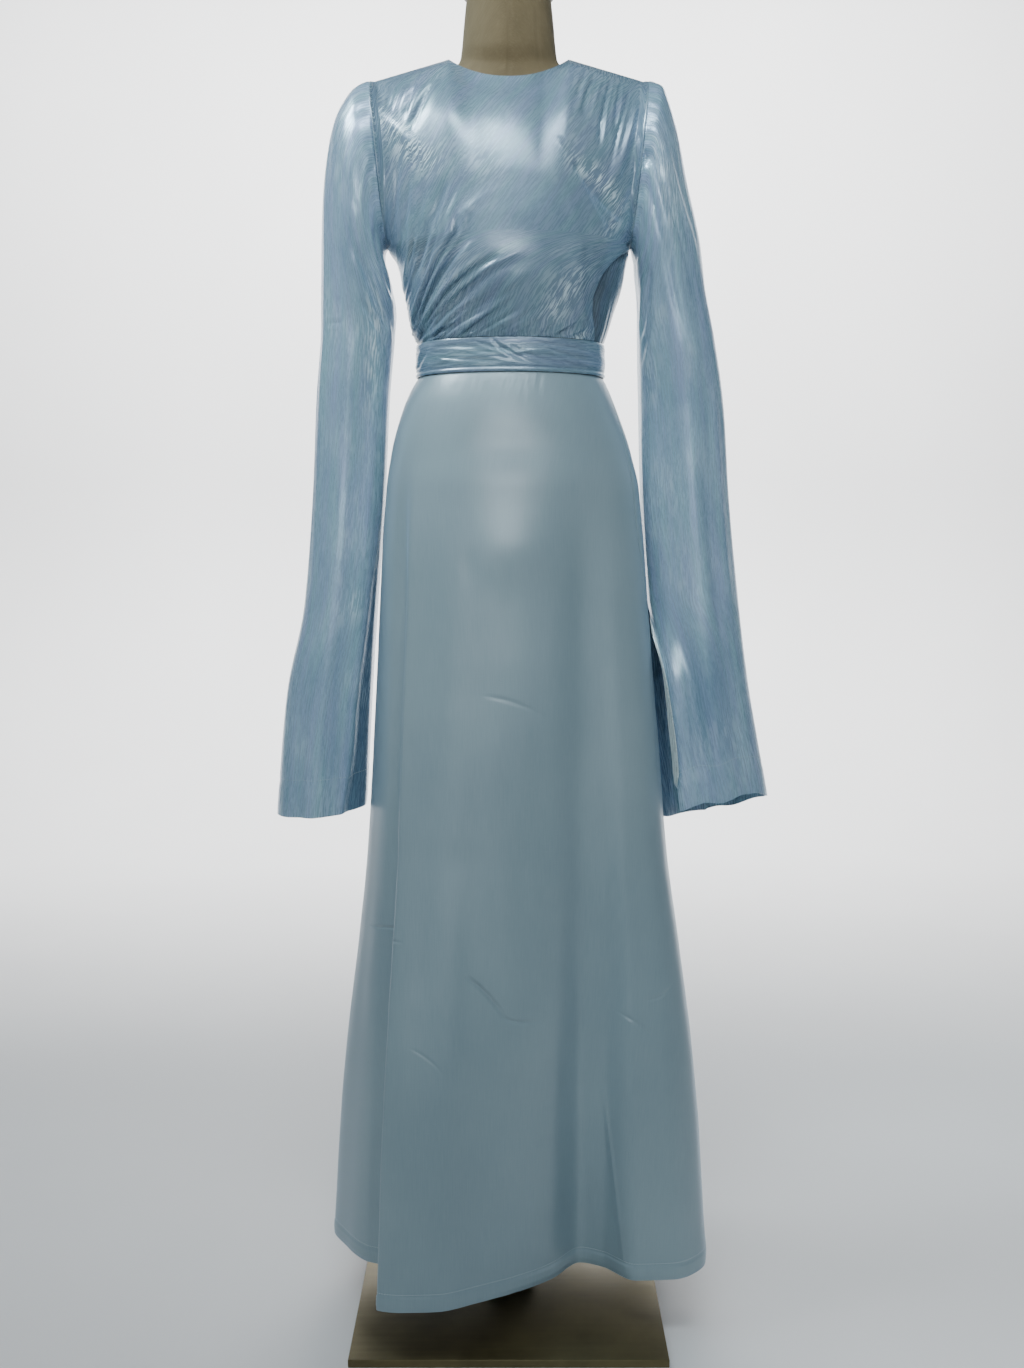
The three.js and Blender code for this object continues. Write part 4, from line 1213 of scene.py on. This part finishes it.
class Nodes:
    """Short ways to build one material's nodes."""

    def __init__(self, name):
        self.material = bpy.data.materials.new(name)
        self.material.use_nodes = True
        self.tree = self.material.node_tree
        self.shader = self.tree.nodes["Principled BSDF"]

    def add(self, kind, inputs=(), **settings):
        """A node with its settings and the values or links of its named or numbered inputs."""
        node = self.tree.nodes.new(kind)
        for key, value in settings.items():
            setattr(node, key, value)
        for key, value in dict(inputs).items():
            self.feed(node.inputs[key], value)
        return node

    def feed(self, socket, value):
        """Gives an input a number, a colour, a vector or another node's output."""
        if isinstance(value, bpy.types.NodeSocket):
            self.tree.links.new(value, socket)
        elif socket.type == "RGBA":
            socket.default_value = (*value, 1)
        else:
            socket.default_value = value

    def texture(self, kind, scale, cloth, **inputs):
        """A texture over flat cloth places, or the object's own, stretched by a scale for each axis."""
        places = self.add("ShaderNodeTexCoord").outputs["UV" if cloth else "Object"]
        vector = self.add("ShaderNodeMapping", {"Vector": places, "Scale": scale}).outputs["Vector"]
        return self.add(kind, {"Vector": vector, "Scale": 1, **inputs}).outputs["Fac"]

    def noise(self, scale, detail=2, rough=0.5, cloth=True):
        return self.texture("ShaderNodeTexNoise", scale, cloth, Detail=detail, Roughness=rough)

    def wave(self, scale, distort, cloth=True):
        return self.texture("ShaderNodeTexWave", scale, cloth, Distortion=distort)

    def math(self, operation, first, second=0):
        return self.add("ShaderNodeMath", {0: first, 1: second}, operation=operation).outputs["Value"]

    def total(self, *parts):
        """Sum of values, each with its weight."""
        first, *others = (self.math("MULTIPLY", value, weight) for value, weight in parts)
        for other in others:
            first = self.math("ADD", first, other)
        return first

    def remap(self, value, low, high, to_low=0, to_high=1):
        inputs = {"Value": value, "From Min": low, "From Max": high, "To Min": to_low, "To Max": to_high}
        return self.add("ShaderNodeMapRange", inputs).outputs["Result"]

    def blend(self, share, first, second):
        """A mix of two colours, whose inputs are 6 and 7 of the node and whose output is 2."""
        return self.add("ShaderNodeMix", data_type="RGBA", inputs={0: share, 6: first, 7: second}).outputs[2]

    def attribute(self, name):
        return self.add("ShaderNodeAttribute", attribute_name=name).outputs["Fac"]

    def crease(self, x0, z0, x1, z1, bend, wide, deep):
        """Height in mm of one bent crease, drawn over the object from one place to another."""
        run_x, run_z = x1 - x0, z1 - z0
        long = math.hypot(run_x, run_z)
        place = self.add("ShaderNodeTexCoord").outputs["Object"]

        def measure(by_x, by_z):
            inputs = {0: place, 1: (by_x / MM, 0, by_z / MM)}
            node = self.add("ShaderNodeVectorMath", inputs, operation="DOT_PRODUCT")
            return self.math("SUBTRACT", node.outputs["Value"], x0 * by_x + z0 * by_z)

        share = measure(run_x / long**2, run_z / long**2)
        bow = self.math("MULTIPLY", share, self.math("SUBTRACT", 1, share))
        off = measure(run_z / long, -run_x / long)
        off = self.math("ADD", off, self.math("MULTIPLY", bow, 4 * bend))
        off = self.math("MULTIPLY", off, 1 / wide)
        line = self.math("EXPONENT", self.math("MULTIPLY", self.math("MULTIPLY", off, off), -1))
        line = self.math("MULTIPLY", line, self.remap(share, -0.1, 0.2, 0, deep))
        return self.math("MULTIPLY", line, self.remap(share, 0.7, 1.1, 1, 0))

    def bump(self, height, distance, strength=1.0, *sockets):
        inputs = {"Height": height, "Distance": distance, "Strength": strength}
        normal = self.add("ShaderNodeBump", inputs).outputs["Normal"]
        for socket in sockets or ("Normal",):
            self.feed(self.shader.inputs[socket], normal)

    def finish(self, **values):
        """Sets the shader's inputs and gives back the material."""
        for key, value in values.items():
            self.feed(self.shader.inputs[key.replace("_", " ")], value)
        return self.material


def shimmer_satin(name, light):
    """Thin crinkled satin: long fine crinkles along the thread, with painted highlights as silvery points in
    its colour.
    """
    nodes = Nodes(name)

    def colour(red, green, blue):
        return (red * light, green * light, blue * light)

    streaks = nodes.noise((420, 14, 1), 3, 0.6)
    threads = nodes.noise((1000, 60, 1), 2, 0.6)
    specks = nodes.noise((520, 38, 1), 2, 0.6)
    clouds = nodes.noise((14, 9, 1))
    hues = nodes.noise((62, 6, 1))
    shade = nodes.remap(nodes.total((streaks, 0.4), (clouds, 0.6)), 0.35, 0.65)
    tint = nodes.blend(shade, colour(0.135, 0.215, 0.29), colour(0.215, 0.315, 0.395))
    tint = nodes.blend(nodes.remap(hues, 0.5, 0.68, 0, 0.5), tint, colour(0.205, 0.26, 0.395))
    tint = nodes.blend(nodes.remap(hues, 0.5, 0.32, 0, 0.5), tint, colour(0.165, 0.305, 0.34))
    # Painted shade: darker colour where the sleeves fold back and their layers lie together.
    doubled = nodes.remap(nodes.attribute("doubled"), 0, 1, 0, 0.8)
    tint = nodes.blend(doubled, tint, (0.085, 0.165, 0.27))
    # Painted highlights: silvery glints painted into the colour at the listed places and in random patches.
    place = nodes.math("ADD", nodes.attribute("painted_glint"), nodes.remap(clouds, 0.5, 0.7, 0.05, 0.3))
    painted_sparkle = nodes.math("MULTIPLY", nodes.remap(specks, 0.5, 0.6), place)
    tint = nodes.blend(painted_sparkle, tint, (0.74, 0.92, 1))
    # The turned-out lip: its paler wrong side and a painted highlight, both painted into the colour.
    tint = nodes.blend(nodes.attribute("lip_tone_and_highlight"), tint, (0.66, 0.79, 0.78))
    height = nodes.total((streaks, 0.6), (threads, 0.15), (specks, 0.04))
    nodes.bump(height, 0.0004, 0.7, "Normal", "Coat Normal")
    return nodes.finish(
        Base_Color=tint,
        Roughness=nodes.remap(specks, 0.3, 0.7, 0.25, 0.3),
        Metallic=0.3,
        Specular_IOR_Level=0.4,
        Coat_Weight=0.5,
        Coat_Roughness=0.17,
        Sheen_Weight=0.3,
        Sheen_Roughness=0.45,
        Sheen_Tint=SHEEN,
    )


def skirt_satin():
    """Smooth heavy satin with faint threads."""
    nodes = Nodes("skirt_satin")
    threads = nodes.noise((800, 30, 1), 2, 0.6)
    weft = nodes.noise((40, 900, 1), 1)
    clouds = nodes.noise((6, 3.5, 1))
    tint = nodes.blend(nodes.remap(clouds, 0.35, 0.65), (0.2, 0.282, 0.318), (0.232, 0.32, 0.355))
    tint = nodes.blend(nodes.remap(threads, 0.3, 0.7, 0, 0.12), tint, (0.38, 0.47, 0.52))
    height = nodes.total((threads, 0.1), (weft, 0.06))
    for row in zip(*SKIRT_CREASES.values()):
        height = nodes.math("ADD", height, nodes.crease(*map(float, row)))
    nodes.bump(height, MM)
    return nodes.finish(
        Base_Color=tint,
        Roughness=nodes.remap(threads, 0.3, 0.7, 0.31, 0.4),
        Metallic=0.12,
        Specular_IOR_Level=0.7,
        Sheen_Weight=0.2,
        Sheen_Roughness=0.5,
        Sheen_Tint=SHEEN,
    )


def thread():
    """Sewing thread, a little lighter than the satin."""
    nodes = Nodes("sewing_thread")
    twist = nodes.wave((700, 700, 700), 0.5, cloth=False)
    tint = nodes.blend(nodes.remap(twist, 0.2, 0.8), (0.34, 0.46, 0.52), (0.5, 0.62, 0.66))
    nodes.bump(twist, 0.0002, 0.5)
    rough = nodes.remap(twist, 0.2, 0.8, 0.45, 0.6)
    return nodes.finish(Base_Color=tint, Roughness=rough, Sheen_Weight=0.2)


def linen():
    """Plain woven linen with uneven threads."""
    nodes = Nodes("form_linen")
    warp = nodes.wave((330, 0, 0), 1.2)
    weft = nodes.wave((0, 330, 0), 1.2)
    slubs = nodes.noise((260, 900, 1), 3, 0.6)
    blotch = nodes.noise((18, 18, 1), 3)
    tint = nodes.blend(nodes.remap(blotch, 0.35, 0.65), (0.125, 0.098, 0.05), (0.155, 0.122, 0.064))
    tint = nodes.blend(nodes.remap(slubs, 0.45, 0.75, 0, 0.5), tint, (0.25, 0.205, 0.125))
    weave = nodes.math("MULTIPLY", warp, weft)
    nodes.bump(nodes.total((weave, 0.6), (slubs, 0.5)), 0.0006, 0.6)
    rough = nodes.remap(slubs, 0.3, 0.7, 0.78, 0.95)
    return nodes.finish(Base_Color=tint, Roughness=rough, Sheen_Weight=0.05)


def wood():
    """Dark turned wood with its grain along X."""
    nodes = Nodes("cap_wood")
    grain = nodes.noise((14, 160, 60), 4, 0.6, cloth=False)
    pores = nodes.noise((60, 1400, 500), cloth=False)
    tint = nodes.blend(nodes.remap(grain, 0.35, 0.65), (0.075, 0.036, 0.018), (0.16, 0.085, 0.045))
    nodes.bump(nodes.total((grain, 1), (pores, 0.5)), 0.0004, 0.5)
    rough = nodes.remap(grain, 0.3, 0.7, 0.36, 0.55)
    return nodes.finish(Base_Color=tint, Roughness=rough, Coat_Weight=0.25)


def brushed_metal(name, dark, light, scale, rough, shiny=1.0):
    """Metal brushed one way, with faint smears."""
    nodes = Nodes(name)
    brush = nodes.noise(scale, 3, 0.6, cloth=False)
    smears = nodes.noise((9, 7, 9), 4, 0.6, cloth=False)
    tint = nodes.blend(nodes.remap(smears, 0.3, 0.7), dark, light)
    tint = nodes.blend(nodes.remap(brush, 0.35, 0.7, 0, 0.35), tint, light)
    nodes.bump(brush, 0.0002, 0.35)
    uneven = nodes.remap(smears, 0.3, 0.7, rough, rough + 0.16)
    return nodes.finish(Base_Color=tint, Roughness=uneven, Metallic=shiny)


def floor_paint():
    nodes = Nodes("pale_floor")
    cloud = nodes.noise((1.5, 1.5, 1), 3, cloth=False)
    tint = nodes.blend(nodes.remap(cloud, 0.3, 0.7), (0.8, 0.8, 0.8), (0.84, 0.84, 0.84))
    return nodes.finish(Base_Color=tint, Roughness=0.7)


# ---- Camera, light and floor ----


def camera():
    data = bpy.data.cameras.new("camera")
    data.sensor_width = SENSOR
    data.lens = FOCAL_LENGTH * SENSOR
    made = put("camera", data)
    made.location = CAMERA_PLACE
    made.rotation_euler.x = math.radians(90 - CAMERA_TILT)
    bpy.context.scene.camera = made


def area_light(name, place, target, size, power, colour, spread):
    data = bpy.data.lights.new(name, "AREA")
    data.shape = "RECTANGLE"
    data.size, data.size_y = size
    data.energy = power
    data.color = colour
    data.spread = math.radians(spread)
    made = put(name, data)
    made.location = place
    x, y, z = np.subtract(target, place)
    made.rotation_euler = (math.atan2(math.hypot(x, y), -z), 0, math.atan2(y, x) - RIGHT_ANGLE)
    made.visible_glossy = name != "front_fill"


def world():
    made = bpy.data.worlds.new("studio")
    made.use_nodes = True
    background = made.node_tree.nodes["Background"]
    background.inputs["Color"].default_value = WORLD_COLOUR
    background.inputs["Strength"].default_value = WORLD_STRENGTH
    bpy.context.scene.world = made


def floor():
    """A pale floor that curves up into a backdrop well behind the object."""
    turns = np.linspace(0, RIGHT_ANGLE, 12)
    cove = [(BACKDROP_FAR - COVE + COVE * math.sin(t), COVE - COVE * math.cos(t)) for t in turns]
    profile = [(FLOOR_NEAR, 0), *cove, (BACKDROP_FAR, BACKDROP_HIGH)]
    corners = [(x, y, z) for y, z in profile for x in (-FLOOR_HALF, FLOOR_HALF)]
    quads = grid_quads(np.arange(len(corners)).reshape(-1, 2))
    made = mesh_object("floor", np.array(corners) / MM, quads)
    made.location.z = FLOOR_HIGH
    made.data.materials.append(floor_paint())


# ---- Build ----


def finish_piece(piece, material, slot, *nodes):
    """Gives a piece its material and its place in the frame."""
    piece.data.materials.append(material)
    if nodes:
        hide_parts(*nodes)
    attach(piece, "root")
    return piece


camera()
for lamp in LAMPS:
    area_light(*lamp)
world()
floor()

SHIMMER = shimmer_satin("shimmer_satin", 1.0)
SLEEVE_SHIMMER = shimmer_satin("sleeve_satin", 1.6)
# A darker copy of the satin: painted shade on the side panel under the draped front's edge.
SHADED_SIDE_SHIMMER = shimmer_satin("side_satin_painted_shade", 0.5)
SATIN = skirt_satin()
THREAD = thread()
STEEL = brushed_metal("pole_steel", (0.30, 0.30, 0.29), (0.50, 0.50, 0.48), (60, 60, 4), 0.28)
BRONZE = brushed_metal("plate_bronze", (0.085, 0.070, 0.030), (0.17, 0.14, 0.065), (6, 160, 30), 0.36, 0.6)

draped_front = finish_piece(drape(), SHIMMER, "bodice_satin", "bodice_front_drape")

bodice_side = finish_piece(side_panel(), SHADED_SIDE_SHIMMER, "bodice_satin", "bodice_front_side")

for side_name, hand in (("right", 1), ("left", -1)):
    half = back_half(f"bodice_back_half_{side_name}", hand)
    finish_piece(half, SHIMMER, "bodice_satin", f"bodice_back_{side_name}")

for side_name, middle, flat in (("front", 0, (0.34, 0.044)), ("back", math.pi, (0.325, 0.044))):
    band = waistband(f"band_{side_name}", middle)
    finish_piece(band, SHIMMER, "bodice_satin", f"waistband_{side_name}")

for side_name, front, flat, area in (
    ("front", True, (0.86, 1.15), 0.61),
    ("back", False, (0.92, 1.15), 0.66),
):
    panel = skirt(f"skirt_panel_{side_name}", front)
    finish_piece(panel, SATIN, "skirt_satin", f"skirt_{side_name}")
    hem = finish_piece(stitches(f"hem_stitches_{side_name}", panel, HEM_STITCH), THREAD, "skirt_satin")

for side_name, rows, hand, slit, crease_rows, seed in (
    ("right", RIGHT_SLEEVE, 1, True, RIGHT_SLEEVE_CREASES, 61),
    ("left", LEFT_SLEEVE, -1, False, LEFT_SLEEVE_CREASES, 71),
):
    bell = sleeve(f"bell_sleeve_{side_name}", rows, hand, slit, crease_rows, seed)
    finish_piece(bell, SLEEVE_SHIMMER, "sleeve_satin", f"sleeve_{side_name}")
    cuff = finish_piece(stitches(f"cuff_stitches_{side_name}", bell, CUFF_STITCH), THREAD, "sleeve_satin")

finish_piece(form_torso(), linen(), "form_linen", "form_torso")

cap = lathe("turned_cap", rounded(1, CAP_LOW, CAP_LOW + CAP_TALL, 0), squash=CAP_HALF, shift=4)
finish_piece(cap, wood(), "cap_wood", "neck_cap")

pole = lathe("steel_pole", rounded(POLE_RADIUS, POLE_LOW, POLE_TOP, 0.8))
finish_piece(pole, STEEL, "pole_steel", "form_pole")
finish_piece(lathe("steel_collar", COLLAR_OUTLINE), STEEL, "pole_steel", "pole_collar")
finish_piece(base_plate(), BRONZE, "plate_bronze", "base_plate")

button = lathe("covered_button", BUTTON_OUTLINE, sides=48, smooth_under=60)
finish_piece(lay_on_back(button, "neck_button"), SHIMMER, "bodice_satin", "neck_button")
finish_piece(lay_on_back(thread_loop(), "neck_loop"), THREAD, "loop_thread", "neck_loop")
